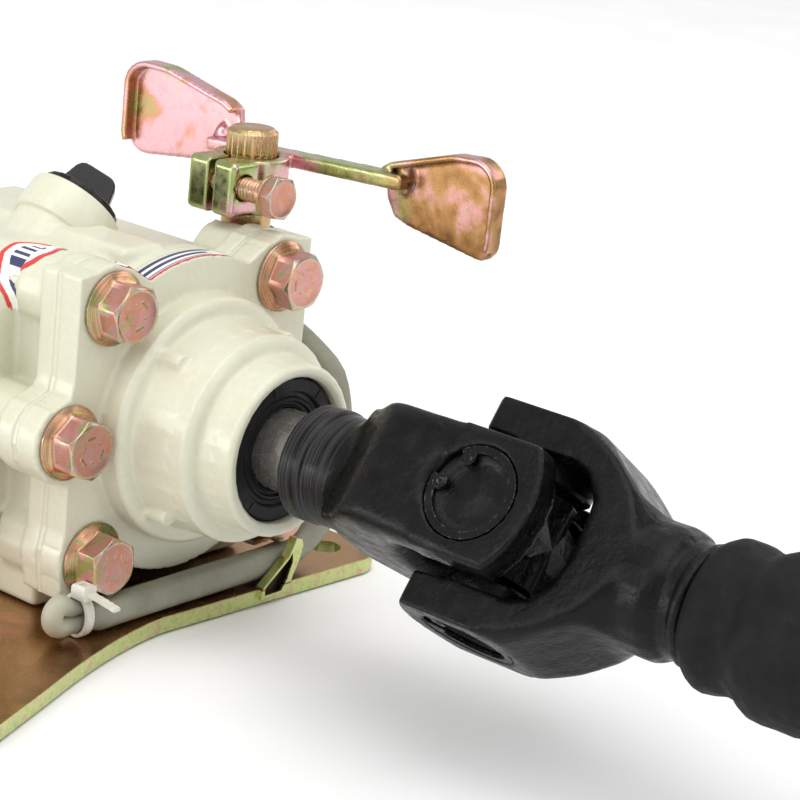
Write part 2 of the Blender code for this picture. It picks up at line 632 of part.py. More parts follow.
def fork_outline(shoulder, neck, reach):
    """Side view of a yoke: outside from neck to ear tips, and the rounded crotch inside."""
    upper = [(-reach, neck), (-shoulder[0], neck + 0.8), (-shoulder[1], EAR_OUT - 2.0),
             (-shoulder[1] + 4.0, EAR_OUT), (17.0, EAR_OUT), (17.0, EAR_IN), (2.0, EAR_IN - 0.3)]
    crotch = []
    for i in range(8):
        angle = math.radians(62 + 118 * i / 7)
        along, across = math.cos(angle), math.sin(angle)
        power = CROTCH_SQUARENESS
        squareness = (abs(along) ** power + abs(across) ** power) ** (-1 / power)
        crotch.append((-5.2 + 16.6 * squareness * along, 16.6 * squareness * across))
    top = upper + crotch
    bottom = [(x, -y) for x, y in reversed(top[:-1])]
    return top + bottom


def make_yoke(name, quarter, facing, shoulder, neck, reach, origin):
    """Forged yoke; facing is +1 when its ears point to +X."""
    base = joint_frame(quarter)
    flip = Matrix.Scale(facing, 4, (1, 0, 0))
    ear = ear_axis(quarter)
    outline = fork_outline(shoulder, neck, reach)
    body = prism_bmesh(outline, -EAR_HALF_WIDTH, EAR_HALF_WIDTH, base @ flip)
    yoke = finish_mesh(name, body, "black_paint", origin)
    tips = ([(-reach - 5, -17), (4.0, -17)] + arc_points((-7.5, 0), 23.4, -45, 45, 9)
            + [(4.0, 17), (-reach - 5, 17)])
    turned = Matrix.Rotation(math.pi / 2, 4, "X")
    trim = prism(f"{name}_tip_trim", tips, -40, 40, None, base @ flip @ turned)
    combine(yoke, trim, "INTERSECT")
    centre = Vector((CROSS_X, 0, SHAFT_Z))
    cut(yoke, lathe(f"cut_{name}_ear", rod_profile(-40, 40, CAP_R), None, centre, ear, ROUND))
    return yoke


def round_off(yoke, envelope):
    """Trim the forging to a round envelope given as (X, radius) pairs."""
    start, end = envelope[0][0], envelope[-1][0]
    profile = [(start, 0.0)] + envelope + [(end, 0.0)]
    combine(yoke, lathe(f"{yoke.name}_envelope", profile, None, at_shaft(), sides=ROUND), "INTERSECT")


def make_inner_yoke():
    origin = at_shaft()
    yoke = make_yoke("inner_yoke", 0, 1, (41.0, 31.0), 12.2, 44.0, origin)
    round_off(yoke, [(90.0, 15.0), (104.0, 16.5), (113.0, 23.5), (122.0, 28.0), (200.0, 30.5)])
    hub = [(95.2, 0), (95.2, 12.9), (96.0, 13.8), (102.0, 13.8), (102.6, 13.2), (110.0, 13.2), (118.0, 13.2),
           (118.0, 0)]
    fuse(yoke, lathe("inner_yoke_hub", hub, None, at_shaft(), sides=ROUND))
    cut(yoke, lathe("cut_inner_yoke_bore", rod_profile(90.0, 126.0, SHAFT_R + GAP), None, at_shaft()))
    return yoke


def make_outer_yoke():
    yoke = make_yoke("outer_yoke", 1, -1, (30.0, 18.0), 14.2, 34.0, (CROSS_X, 0, SHAFT_Z))
    round_off(yoke, [(110.0, 30.6), (160.0, 30.6), (169.0, 28.2), (176.0, 25.4), (184.0, 20.6), (189.0, 15.6),
                     (196.0, 14.8)])
    start = CROSS_X + 26.0
    neck = [(start, 0), (start, 14.6), (196.0, 14.9), (198.6, 14.0), (199.4, 12.9), (202.4, 12.9),
            (203.2, 13.9),
            (205.0, 13.6), (205.0, 12.4), (236.0, 12.4), (236.0, 0)]
    fuse(yoke, lathe("outer_yoke_neck", neck, None, at_shaft(), sides=ROUND))
    return yoke


def make_cross():
    """Cross with four trunnions, on the joint centre."""
    centre = Vector((CROSS_X, 0, SHAFT_Z))
    trunnion = [(-22.0, 0), (-22.0, 5.9), (-21.4, 6.5), (-11.6, 6.5), (-10.6, 8.6), (10.6, 8.6), (11.6, 6.5),
                (21.4, 6.5), (22.0, 5.9), (22.0, 0)]
    cross = lathe("u_cross", trunnion, "ground_steel", centre, ear_axis(0), SMALL, centre)
    fuse(cross, lathe("cross_second", trunnion, None, centre, ear_axis(1), SMALL, clock=0.05))
    return cross


def make_cap(name, quarter, sign, origin):
    direction = ear_axis(quarter) * sign
    centre = Vector((CROSS_X, 0, SHAFT_Z))
    outer = CAP_R - GAP
    profile = [(12.2, 6.8), (12.2, outer - 0.7), (12.9, outer), (23.4, outer), (24.0, outer - 0.6), (24.0, 0),
               (22.4, 0), (22.4, 6.8)]
    return lathe(name, profile, "gear_steel", centre, direction, ROUND, origin)


def make_circlip(name, quarter, sign, origin):
    """Internal circlip with a gap and two eyed ends."""
    outer = CAP_R - GAP
    inner = outer - 1.7
    points = arc_points((0, 0), outer, 22, 338, 20)
    points += arc_points((0, 0), inner - 2.2, 338, 331, 3)
    points += arc_points((0, 0), inner, 318, 42, 14)
    points += arc_points((0, 0), inner - 2.2, 29, 22, 3)
    direction = ear_axis(quarter) * sign
    centre = Vector((CROSS_X, 0, SHAFT_Z))
    transform = Matrix.Translation(centre) @ frame_along(direction, math.radians(150))
    clip = prism(name, points, 24.3, 25.2, "gear_steel", transform, origin)
    for index, sweep in enumerate((31.0, 329.0)):
        angle = math.radians(sweep)
        eye = rod_profile(20, 30, 0.9)
        spot = transform @ Vector(((inner - 0.6) * math.cos(angle), (inner - 0.6) * math.sin(angle), 0))
        cut(clip, lathe(f"cut_{name}_{index}", eye, None, spot, direction, 8))
    return clip


# ---- shift mechanism --------------------------------------------------------------------
def make_shift_shaft():
    """Shift shaft with its serrated top, crank and crank pin."""
    x, y = SHIFT_XY
    origin = (x, y, SHIFT_BOSS_TOP)
    profile = [(70.0, 0), (70.0, SHIFT_R), (SHIFT_TOP - 0.9, SHIFT_R), (SHIFT_TOP, SHIFT_R - 0.9),
               (SHIFT_TOP, 0)]
    shaft = lathe("shift_shaft", profile, "yellow_zinc", (x, y, 0), (0, 0, 1), SMALL, origin)
    serration = [(px * (1.04 if i % 2 else 0.98), py * (1.04 if i % 2 else 0.98))
                 for i, (px, py) in enumerate(ring_points(40, SHIFT_R))]
    top = prism("shift_serration", serration, 91.0, 110.8, None, Matrix.Translation((x, y, 0)))
    fuse(shaft, top)
    fuse(shaft, box("shift_crank", (x - 2.8, y - CRANK_RADIUS - 3.0, 76.8), (x + 2.8, y, 79.6), None))
    fuse(shaft, lathe("shift_pin", rod_profile(72.4, 78.0, 2.6), None, (x, y - CRANK_RADIUS, 0),
                      (0, 0, 1), 16))
    return shaft


def pad_outline():
    """Front view of a pad: first number from the narrow end, second from mid height, clockwise from below."""
    top = [(0.0, 0.5), (0.6, 4.2), (3.4, 6.0), (9.0, 7.7), (21.9, 11.7)]
    top = top + arc_points((29.0, 5.4), 6.9, 100, 8, 6)
    bottom = arc_points((30.6, -7.6), 5.2, 0, -105, 5) + [(7.9, -9.4), (3.6, -8.0), (1.0, -4.0)]
    return top, bottom


def make_pad(name, start_x, sign, height, stretch, lift):
    """Pressed pad with a rim along its top and wide end; the bar is welded to its front."""
    y_face = 50.0
    top, bottom = pad_outline()
    top = [(s, t + lift * (1 - s / 36.0)) for s, t in top]
    along_y = Matrix(((1, 0, 0, 0), (0, 0, 1, 0), (0, 1, 0, 0), (0, 0, 0, 1)))
    place = [(start_x + sign * stretch * s, height + t) for s, t in top + bottom]
    pad = prism(name, place, y_face, y_face + 2.0, None, along_y)
    edge = top[1:] + bottom[:2]
    inner = offset_line(edge, 1.6)
    band = [(start_x + sign * stretch * s, height + t) for s, t in edge + inner[::-1]]
    fuse(pad, prism(f"{name}_rim", band, y_face - 3.2, y_face + 1.4, None, along_y))
    return pad


def offset_line(points, distance):
    """Copy of an open line moved to its right by a distance."""
    moved = []
    for i, (x, y) in enumerate(points):
        before = Vector(points[max(i - 1, 0)])
        after = Vector(points[min(i + 1, len(points) - 1)])
        run = (after - before).normalized()
        moved.append((x + run.y * distance, y - run.x * distance))
    return moved


def make_shift_lever():
    x, y = SHIFT_XY
    origin = (x, y, SHIFT_BOSS_TOP)
    bottom, top = 92.4, 106.2
    hub = lathe("shift_lever", rod_profile(bottom, top, 9.8), "yellow_zinc", (x, y, 0), (0, 0, 1), ROUND,
                origin)
    jaws = box("lever_jaws", (x - 7.9, y - 14.4, bottom), (x + 7.9, y, top), None, bevel=1.0, segments=1)
    fuse(hub, jaws)
    bar = [(11.5, 101.8), (75.5, 105.0), (76.5, 106.0), (76.5, 107.9), (75.5, 108.8), (11.5, 105.3)]
    along_y = Matrix(((1, 0, 0, 0), (0, 0, 1, 0), (0, 1, 0, 0), (0, 0, 0, 1)))
    fuse(hub, prism("lever_bar", bar, 44.6, 50.4, None, along_y))
    fuse(hub, make_pad("left_pad", 18.2, -1, 107.2, 1.12, 2.0))
    fuse(hub, make_pad("right_pad", 67.5, 1, 105.0, 1.0, 0.0))
    for index, (weld_x, weld_r) in enumerate(((12.6, 3.0), (74.4, 3.0))):
        bead = lathe(f"lever_weld_{index}", [(-4.5, 0), (-3.4, 1.6), (0, weld_r), (3.4, 1.6), (4.5, 0)], None,
                     (weld_x, 49.4, 103.6 + 0.05 * weld_x), (0, 0, 1), HOLE)
        fuse(hub, bead)
    cut(hub, lathe("cut_lever_bore", rod_profile(80, 120, SHIFT_R + 0.75), None, (x, y, 0), (0, 0, 1), ROUND))
    cut(hub, box("cut_lever_slit", (x - 1.0, y - 20, 80), (x + 1.0, y - 2, 120), None))
    cut(hub, lathe("cut_pinch_hole", rod_profile(-20, 30, 3.4), None, (x, y - PINCH_OFFSET, 99.8),
                   (1, 0, 0), SMALL))
    return hub


def make_pinch_bolt():
    x, y = SHIFT_XY
    origin = (x, y, SHIFT_BOSS_TOP)
    start = (x + 15.2, y - PINCH_OFFSET, 99.8)
    size = (3.0, 10.0, 5.9, 5.2, 21.6)
    return make_flange_bolt("pinch_bolt", start, (1, 0, 0), size, 0.35, origin)


def make_shift_fork():
    """Fork on its rail: the fork plate straddles the sleeve, the tail carries the crank slot."""
    rail_y, rail_z = FORK_RAIL
    origin = (0, rail_y, rail_z)
    fork = lathe("shift_fork", rod_profile(-7.0, 7.0, 5.5), "gear_steel", (0, rail_y, rail_z), sides=SMALL,
                 origin=origin)
    plate = arc_points((0, SHAFT_Z), 17.5, -20, 95, 10)
    plate += arc_points((0, SHAFT_Z), 12.2, 95, -20, 12)
    fuse(fork, prism("fork_claw", plate, -1.9, 1.9, None, ALONG_X))
    web = [(9.0, SHAFT_Z + 11.0), (12.0, SHAFT_Z + 8.5), (rail_y + 3, rail_z - 3), (rail_y - 3, rail_z + 3)]
    fuse(fork, prism("fork_web", web, -1.9, 1.9, None, ALONG_X))
    x, y = SHIFT_XY
    slot_y = y - CRANK_RADIUS
    fuse(fork, box("fork_tail", (-5.0, slot_y - 3.6, 72.4), (x + 7.0, slot_y + 5.0, 75.6), None))
    fuse(fork, box("fork_post", (-6.0, slot_y - 2.0, 68.0), (6.0, slot_y + 5.0, 75.0), None))
    cut(fork, box("cut_fork_slot", (x - 3.0, slot_y - 10, 70.0), (x + 3.0, slot_y + 3.4, 78.0), None))
    cut(fork, lathe("cut_fork_bore", rod_profile(-60, 60, FORK_RAIL_R + 0.5), None, (0, rail_y, rail_z),
                    sides=SMALL))
    return fork


# ---- small parts -------------------------------------------------------------------------
def make_filler_cap():
    origin = Vector(FILLER_TOP)
    profile = [(-9.0, 0), (-9.0, 6.3), (-8.4, 6.9), (GAP, 6.9), (GAP, 10.4), (1.8, 10.4), (2.6, 8.6),
               (2.6, 0)]
    cap = lathe("filler_cap", profile, "black_plastic", FILLER_TOP, FILLER_DIR, ROUND, origin)
    wing = ([(-7.4, 1.6), (-6.4, 5.0)] + arc_points((-2.9, 6.8), 3.0, 160, 90, 4)
            + arc_points((2.9, 6.8), 3.0, 90, 20, 4) + [(6.4, 5.0), (7.4, 1.6)])
    side = Matrix.Rotation(math.pi / 2, 4, "X")
    place = Matrix.Translation(FILLER_TOP) @ frame_along(FILLER_DIR, math.radians(35)) @ side
    fuse(cap, prism("cap_wing", wing, -2.0, 2.0, None, place))
    return cap


def make_drain_plug():
    size = (5.0, 13.0, 8.2, 8.4, 14.0)
    return make_flange_bolt("drain_plug", (-51.0, 0, DRAIN_Z), (-1, 0, 0), size, 0.2, material="yellow_zinc")


def make_base_screws():
    for index, (x, y) in enumerate(base_screw_places()):
        profile = [(0.15, 0), (0.15, 5.9), (3.4, 3.0), (14.0, 3.0), (14.0, 0)]
        screw = lathe(f"base_screw_{index + 1}", profile, "yellow_zinc", (x, y, 0), (0, 0, 1), 16)
        socket = prism(f"cut_screw_{index}", hex_outline(4.0), -1.0, 2.2, None, Matrix.Translation((x, y, 0)))
        cut(screw, socket)


def make_input_cover():
    cover = prism("input_cover", input_outline(), 48.3, 53.5, "cream_paint", along_input())
    nose = [(50.0, 0), (50.0, 24.5), (58.5, 23.5), (60.0, 22.0), (60.0, 0)]
    fuse(cover, lathe("input_nose", nose, None, at_shaft(), (0, -1, 0), 28))
    bore = [(40.0, 0), (40.0, 14.0), (51.5, 14.0), (51.5, SEAL_20[0] + GAP), (62.0, SEAL_20[0] + GAP),
            (62.0, 0)]
    cut(cover, lathe("cut_input_cover", bore, None, at_shaft(), (0, -1, 0), 28))
    for index, (x, z) in enumerate(input_bolt_places()):
        cut(cover, lathe(f"cut_input_clear_{index}", rod_profile(40, 60, 3.5), None, (x, 0, z),
                         (0, -1, 0), HOLE))
    return cover


# ---- vent hose -----------------------------------------------------------------------------
HOSE_R = 3.8
HOSE_ROUTE = [
    (14.0, 47.5, 62.0), (14.2, 52.0, 62.0), (19.0, 56.6, 61.0), (28.0, 57.6, 59.0), (38.0, 57.0, 56.3),
    (46.5, 56.2, 52.9), (51.5, 55.8, 49.8), (54.4, 55.5, 44.0), (56.2, 55.0, 37.0), (58.5, 53.0, 28.0),
    (60.3, 49.5, 20.0), (61.0, 43.5, 13.6), (61.0, 36.0, 9.3), (61.0, 28.0, 8.2), (61.0, 18.0, 8.1),
    (61.0, 4.0, 8.1), (61.0, -10.0, 8.1), (61.0, -24.0, 8.1), (61.0, -33.0, 8.0),
]


def smooth_route(points, step):
    """Catmull-Rom curve through the points, read off about every step."""
    knots = [Vector(point) for point in points]
    dense = []
    for i in range(len(knots) - 1):
        before = knots[max(i - 1, 0)]
        after = knots[min(i + 2, len(knots) - 1)]
        start, end = knots[i], knots[i + 1]
        for j in range(12):
            t = j / 12
            dense.append(0.5 * ((2 * start) + (end - before) * t
                                + (2 * before - 5 * start + 4 * end - after) * t ** 2
                                + (3 * start - before - 3 * end + after) * t ** 3))
    dense.append(knots[-1])
    picked = [dense[0]]
    for point in dense:
        if (point - picked[-1]).length >= step:
            picked.append(point)
    picked[-1] = dense[-1]
    return picked


def make_vent_hose():
    """Hose that lies on the base plate and is folded shut at its free end."""
    route = [(point, 1.0) for point in smooth_route(HOSE_ROUTE, 7.0)]
    route += [(Vector((61.0, -36.0, 7.9)), 0.78), (Vector((61.0, -38.2, 7.5)), 0.54)]
    fold_y, fold_z, fold_r = -44.4, 10.6, 2.8
    for i in range(7):
        angle = math.radians(-90 - i * 30)
        point = Vector((61.0, fold_y + fold_r * math.cos(angle), fold_z + fold_r * math.sin(angle)))
        route.append((point, 0.68))
    route.append((Vector((61.0, -41.6, 11.7)), 0.54))
    route.append((Vector((61.0, -37.8, 11.8)), 0.54))
    curve = bpy.data.curves.new("vent_hose", "CURVE")
    curve.dimensions = "3D"
    curve.bevel_depth = HOSE_R * MM
    curve.bevel_resolution = 2
    curve.use_fill_caps = True
    spline = curve.splines.new("POLY")
    spline.points.add(len(route) - 1)
    for spot, (point, scale) in zip(spline.points, route):
        spot.co = (*(point * MM), 1.0)
        spot.radius = scale
    hose = bpy.data.objects.new("vent_hose", curve)
    curve.materials.append(MATERIALS["hose"])
    bpy.context.collection.objects.link(hose)
    return hose


def make_hose_barb():
    profile = [(31.5, 0), (31.5, 3.0), (38.3, 3.0), (38.3, 5.2), (42.5, 5.2), (42.5, 3.0), (46.4, 3.0),
               (46.4, 0)]
    return lathe("hose_barb", profile, "yellow_zinc", (BARB_XZ[0], 0, BARB_XZ[1]), (0, 1, 0), 16)


def make_cable_tie():
    """Cable tie round the fold: a strap loop, its square head and the cut tail."""
    y = -38.9
    loop = []
    for half_width, half_height in ((4.2, 5.3), (3.4, 4.5)):
        loop.append([(px * half_width, pz * half_height) for px, pz in ring_points(20, 1.0)])
    along_y = Matrix(((1, 0, 0, 61.0), (0, 0, 1, 0), (0, 1, 0, 9.65), (0, 0, 0, 1)))
    strap = prism("cable_tie", loop[0], y - 1.2, y + 1.2, "nylon", along_y)
    cut(strap, prism("cut_tie", loop[1], y - 5, y + 5, None, along_y))
    fuse(strap, box("tie_head", (60.0, y - 2.1, 13.9), (64.6, y + 2.1, 17.6), None, bevel=0.5, segments=1))
    tail = [(62.0, 15.0), (73.0, 14.2), (73.4, 15.2), (62.4, 16.2)]
    flat = Matrix(((1, 0, 0, 0), (0, 0, 1, 0), (0, 1, 0, 0), (0, 0, 0, 1)))
    fuse(strap, prism("tie_tail", tail, y - 1.2, y + 1.2, None, flat))
    return strap


# ---- assembly --------------------------------------------------------------------------------
def make_root_parts():
    make_base_plate()
    make_base_screws()
    make_housing()
    make_output_cover()
    make_gasket()
    for index, (y, z) in enumerate(COVER_BOLTS):
        make_flange_bolt(f"cover_bolt_{index + 1}", (COVER_FACE_X, y, SHAFT_Z + z), (1, 0, 0), M8_FLANGE,
                         0.3 + 0.9 * index)
    make_bearing("output_bearing_front", BEARING_20, PARTING_X - 0.7, (1, 0, 0))
    make_bearing("output_bearing_rear", BEARING_17, 31.2, (-1, 0, 0))
    make_seal("output_seal", NOSE[0] - 9.0, (1, 0, 0))
    make_bearing("input_bearing", BEARING_20, 33.9, (0, -1, 0))
    make_input_cover()
    make_seal("input_seal", 52.2, (0, -1, 0))
    for index, (x, z) in enumerate(input_bolt_places()):
        make_flange_bolt(f"input_bolt_{index + 1}", (x, -53.5, z), (0, -1, 0), M6_FLANGE, 0.2 + 0.7 * index)
    lathe("fork_rail", rod_profile(-37.4, 53.2, FORK_RAIL_R), "ground_steel", (0, *FORK_RAIL), sides=SMALL)
    make_drain_plug()
    make_hose_barb()
    make_vent_hose()
    make_cable_tie()
    seal = [(SHIFT_BOSS_TOP + GAP, 6.9), (SHIFT_BOSS_TOP + GAP, 9.0), (SHIFT_BOSS_TOP + 1.8, 8.4),
            (SHIFT_BOSS_TOP + 1.8, 6.3)]
    lathe("shift_seal", seal, "rubber", (*SHIFT_XY, 0), (0, 0, 1), 24)


def make_output_line():
    centre = (CROSS_X, 0, SHAFT_Z)
    make_output_shaft()
    make_inner_yoke()
    make_cross()
    make_outer_yoke()
    for sign, side in ((1, "near"), (-1, "far")):
        make_cap(f"driving_cap_{side}", 0, sign, at_shaft())
        make_circlip(f"driving_circlip_{side}", 0, sign, at_shaft())
        make_cap(f"driven_cap_{side}", 1, sign, centre)
        make_circlip(f"driven_circlip_{side}", 1, sign, centre)
    tube = tube_profile(226.0, 278.0, 12.8, 15.0)
    lathe("propeller_tube", tube, "black_paint", at_shaft(), sides=ROUND, origin=centre)
    boot = [(206.0, 12.8), (206.0, 14.6), (207.2, 16.0), (210.0, 16.7), (214.0, 16.2), (216.4, 15.7),
            (219.0, 16.4), (222.5, 18.1), (228.0, 18.6), (236.0, 17.6), (242.0, 17.0), (242.0, 15.3),
            (225.6, 15.3), (225.6, 12.8)]
    lathe("shaft_boot", boot, "rubber", at_shaft(), sides=ROUND, origin=centre)


def make_gear_train():
    make_input_shaft()
    make_bevel_gear("input_gear", (0, -1, 0), 33.2, SHAFT_R + GAP, 0.0, False)
    make_bevel_gear("forward_gear", (1, 0, 0), 34.0, 12.3, math.pi / GEAR_TEETH, True)
    make_bevel_gear("reverse_gear", (-1, 0, 0), 30.6, 12.3, math.pi / GEAR_TEETH, True)
    lathe("forward_bush", tube_profile(18.6, 33.8, 10.0, 12.0), "bronze", at_shaft(), origin=at_shaft())
    lathe("reverse_bush", tube_profile(18.6, 29.8, 10.0, 12.0), "bronze", at_shaft(), (-1, 0, 0),
          origin=at_shaft())
    lathe("spacer_sleeve", tube_profile(34.6, 46.8, 10.0, 12.6), "ground_steel", at_shaft(),
          origin=at_shaft())
    make_dog_clutch()


def main():
    for obj in list(bpy.data.objects):
        bpy.data.objects.remove(obj, do_unlink=True)
    MATERIALS.update(make_materials())
    make_root_parts()
    make_output_line()
    make_gear_train()
    make_shift_shaft()
    make_shift_lever()
    make_pinch_bolt()
    make_shift_fork()
    make_filler_cap()


main()
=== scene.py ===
"""Looks of the reversing right angle gearbox: paint, plating, forgings, rubber, hose and labels.

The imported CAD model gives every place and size.  Lengths below are millimetres unless a name
ends in _m, and are turned into metres by MM.
"""

import json
import math
import random

import bmesh
import bpy
from mathutils import Matrix, Vector
from mathutils.bvhtree import BVHTree


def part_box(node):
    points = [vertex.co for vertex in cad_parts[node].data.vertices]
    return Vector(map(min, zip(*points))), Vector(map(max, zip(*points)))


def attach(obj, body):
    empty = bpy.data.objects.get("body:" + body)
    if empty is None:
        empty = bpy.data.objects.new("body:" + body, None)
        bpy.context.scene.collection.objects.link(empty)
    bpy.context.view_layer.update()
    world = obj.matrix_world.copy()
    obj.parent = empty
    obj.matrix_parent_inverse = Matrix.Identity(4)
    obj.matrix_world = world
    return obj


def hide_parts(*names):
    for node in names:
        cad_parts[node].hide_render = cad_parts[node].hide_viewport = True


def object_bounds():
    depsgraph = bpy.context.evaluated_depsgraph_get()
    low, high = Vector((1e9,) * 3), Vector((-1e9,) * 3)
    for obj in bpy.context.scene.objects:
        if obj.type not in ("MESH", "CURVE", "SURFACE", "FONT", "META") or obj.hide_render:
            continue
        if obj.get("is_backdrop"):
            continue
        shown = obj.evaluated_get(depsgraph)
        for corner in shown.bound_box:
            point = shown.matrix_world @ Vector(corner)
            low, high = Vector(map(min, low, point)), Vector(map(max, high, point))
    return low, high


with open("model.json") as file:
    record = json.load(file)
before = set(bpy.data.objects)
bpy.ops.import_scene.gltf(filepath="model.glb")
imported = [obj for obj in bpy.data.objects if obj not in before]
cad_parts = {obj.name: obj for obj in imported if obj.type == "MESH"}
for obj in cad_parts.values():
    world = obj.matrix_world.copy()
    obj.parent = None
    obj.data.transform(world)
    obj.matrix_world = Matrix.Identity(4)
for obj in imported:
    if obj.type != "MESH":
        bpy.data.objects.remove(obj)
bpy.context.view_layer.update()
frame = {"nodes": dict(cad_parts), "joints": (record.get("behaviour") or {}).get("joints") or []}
nodes = frame["nodes"]
joints = {joint["name"]: joint for joint in frame["joints"]}

MM = 0.001
ALONG_SHAFT = Vector((1, 0, 0))
SHAFT = Vector(joints["output_spin"]["pos_m"]) / MM
CROSS = Vector(joints["cross_hinge"]["pos_m"]) / MM
DRIVING_EARS = Vector(joints["cross_hinge"]["axis"]).normalized()
DRIVEN_EARS = Vector(joints["propeller_hinge"]["axis"]).normalized()
SHIFT = Vector(joints["shift_turn"]["pos_m"]) / MM


def box_mm(node):
    low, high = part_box(node)
    return low / MM, high / MM


# ---- camera ----
CAMERA_AZIMUTH = math.radians(37.87)
CAMERA_ELEVATION = math.radians(17.15)
CAMERA_ROLL = math.radians(-6.147)
CAMERA_PLACE = Vector((450.4, -427.1, 238.2))
CAMERA_LENS = 113.87


def make_camera():
    """Camera that looks at the seal nose from the free side of the output shaft."""
    back = Vector((math.sin(CAMERA_AZIMUTH) * math.cos(CAMERA_ELEVATION),
                   -math.cos(CAMERA_AZIMUTH) * math.cos(CAMERA_ELEVATION),
                   math.sin(CAMERA_ELEVATION)))
    level = Vector((math.cos(CAMERA_AZIMUTH), math.sin(CAMERA_AZIMUTH), 0))
    upright = back.cross(level)
    right = level * math.cos(CAMERA_ROLL) - upright * math.sin(CAMERA_ROLL)
    up = level * math.sin(CAMERA_ROLL) + upright * math.cos(CAMERA_ROLL)
    camera = bpy.data.objects.new("camera", bpy.data.cameras.new("camera"))
    camera.data.lens = CAMERA_LENS
    camera.data.sensor_width = 36.0
    camera.data.clip_start = 0.01
    matrix = Matrix((right, up, back)).transposed().to_4x4()
    matrix.translation = CAMERA_PLACE * MM
    camera.matrix_world = matrix
    bpy.context.scene.collection.objects.link(camera)
    bpy.context.scene.camera = camera


make_camera()


# ---- material helpers ----
MIX_FACTOR, MIX_FIRST, MIX_SECOND = 0, 6, 7    # colour sockets of a Mix node
MIX_COLOUR = 2
BEVEL_RADIUS = 0.35
BEVEL_SAMPLES = 4


class Surface:
    """A Principled material with helpers for the node chains that the finishes share."""

    def __init__(self, name, metallic=0.0, roughness=0.5, **sockets):
        self.material = bpy.data.materials.new(name)
        self.material.use_nodes = True
        self.tree = self.material.node_tree
        self.shader = self.tree.nodes["Principled BSDF"]
        self.shader.inputs["Metallic"].default_value = metallic
        self.shader.inputs["Roughness"].default_value = roughness
        for socket, value in sockets.items():
            self.shader.inputs[socket.replace("_", " ")].default_value = value
        self.place = self.node("ShaderNodeTexCoord").outputs["Object"]
        self.normal = None

    def node(self, kind, **settings):
        made = self.tree.nodes.new(kind)
        for key, value in settings.items():
            setattr(made, key, value)
        return made

    def link(self, source, target):
        self.tree.links.new(source, target)

    def stretched(self, scale):
        """Object place, stretched so that a pattern runs long in one direction."""
        mapping = self.node("ShaderNodeMapping")
        self.link(self.place, mapping.inputs["Vector"])
        mapping.inputs["Scale"].default_value = scale
        return mapping.outputs["Vector"]

    def noise(self, size, detail=4.0, rough=0.55, warp=0.0, place=None):
        """Noise with features about size millimetres wide."""
        made = self.node("ShaderNodeTexNoise")
        made.inputs["Scale"].default_value = 1.0 / (size * MM)
        made.inputs["Detail"].default_value = detail
        made.inputs["Roughness"].default_value = rough
        made.inputs["Distortion"].default_value = warp
        self.link(place or self.place, made.inputs["Vector"])
        return made.outputs["Fac"]

    def ramp(self, factor, stops):
        """Colour or grey ramp through (position, colour or grey) stops."""
        made = self.node("ShaderNodeValToRGB")
        elements = made.color_ramp.elements
        for index, (position, colour) in enumerate(stops):
            element = elements[index] if index < 2 else elements.new(position)
            element.position = position
            if not hasattr(colour, "__len__"):
                colour = (colour, colour, colour)
            element.color = (*colour, 1.0)
        self.link(factor, made.inputs["Fac"])
        return made.outputs["Color"]

    def mix(self, factor, first, second, blend="MIX"):
        made = self.node("ShaderNodeMix", data_type="RGBA", blend_type=blend)
        for value, index in ((factor, MIX_FACTOR), (first, MIX_FIRST), (second, MIX_SECOND)):
            if hasattr(value, "node"):
                self.link(value, made.inputs[index])
            else:
                made.inputs[index].default_value = (*value, 1.0) if hasattr(value, "__len__") else value
        return made.outputs[MIX_COLOUR]

    def maths(self, operation, first, second=0.5):
        made = self.node("ShaderNodeMath", operation=operation)
        for value, socket in ((first, made.inputs[0]), (second, made.inputs[1])):
            if hasattr(value, "node"):
                self.link(value, socket)
            else:
                socket.default_value = value
        return made.outputs[0]

    def axis(self, letter):
        """One coordinate of the object place, in metres."""
        made = self.node("ShaderNodeSeparateXYZ")
        self.link(self.place, made.inputs[0])
        return made.outputs[letter]

    def edge(self, radius, low=0.90, high=0.995):
        """1 on worn outer and inner edges and 0 on flat faces."""
        rounded = self.node("ShaderNodeBevel", samples=BEVEL_SAMPLES)
        rounded.inputs["Radius"].default_value = radius * MM
        flat = self.node("ShaderNodeNewGeometry")
        dot = self.node("ShaderNodeVectorMath", operation="DOT_PRODUCT")
        self.link(rounded.outputs["Normal"], dot.inputs[0])
        self.link(flat.outputs["Normal"], dot.inputs[1])
        return self.ramp(dot.outputs["Value"], ((low, 1.0), (high, 0.0)))

    def bump(self, factor, strength, depth):
        """Adds a bump; the depth is in millimetres.  The first one starts from a bevelled normal."""
        made = self.node("ShaderNodeBump")
        made.inputs["Strength"].default_value = strength
        made.inputs["Distance"].default_value = depth * MM
        self.link(factor, made.inputs["Height"])
        if self.normal is None:
            rounded = self.node("ShaderNodeBevel", samples=BEVEL_SAMPLES)
            rounded.inputs["Radius"].default_value = BEVEL_RADIUS * MM
            self.normal = rounded.outputs["Normal"]
        self.link(self.normal, made.inputs["Normal"])
        self.normal = made.outputs["Normal"]

    def done(self, colour, roughness=None):
        self.link(colour, self.shader.inputs["Base Color"])
        if roughness is not None:
            self.link(roughness, self.shader.inputs["Roughness"])
        if self.normal is not None:
            self.link(self.normal, self.shader.inputs["Normal"])
        return self.material


# ---- finishes ----
CREAM_LOW = (0.640, 0.635, 0.490)
CREAM_HIGH = (0.710, 0.705, 0.565)

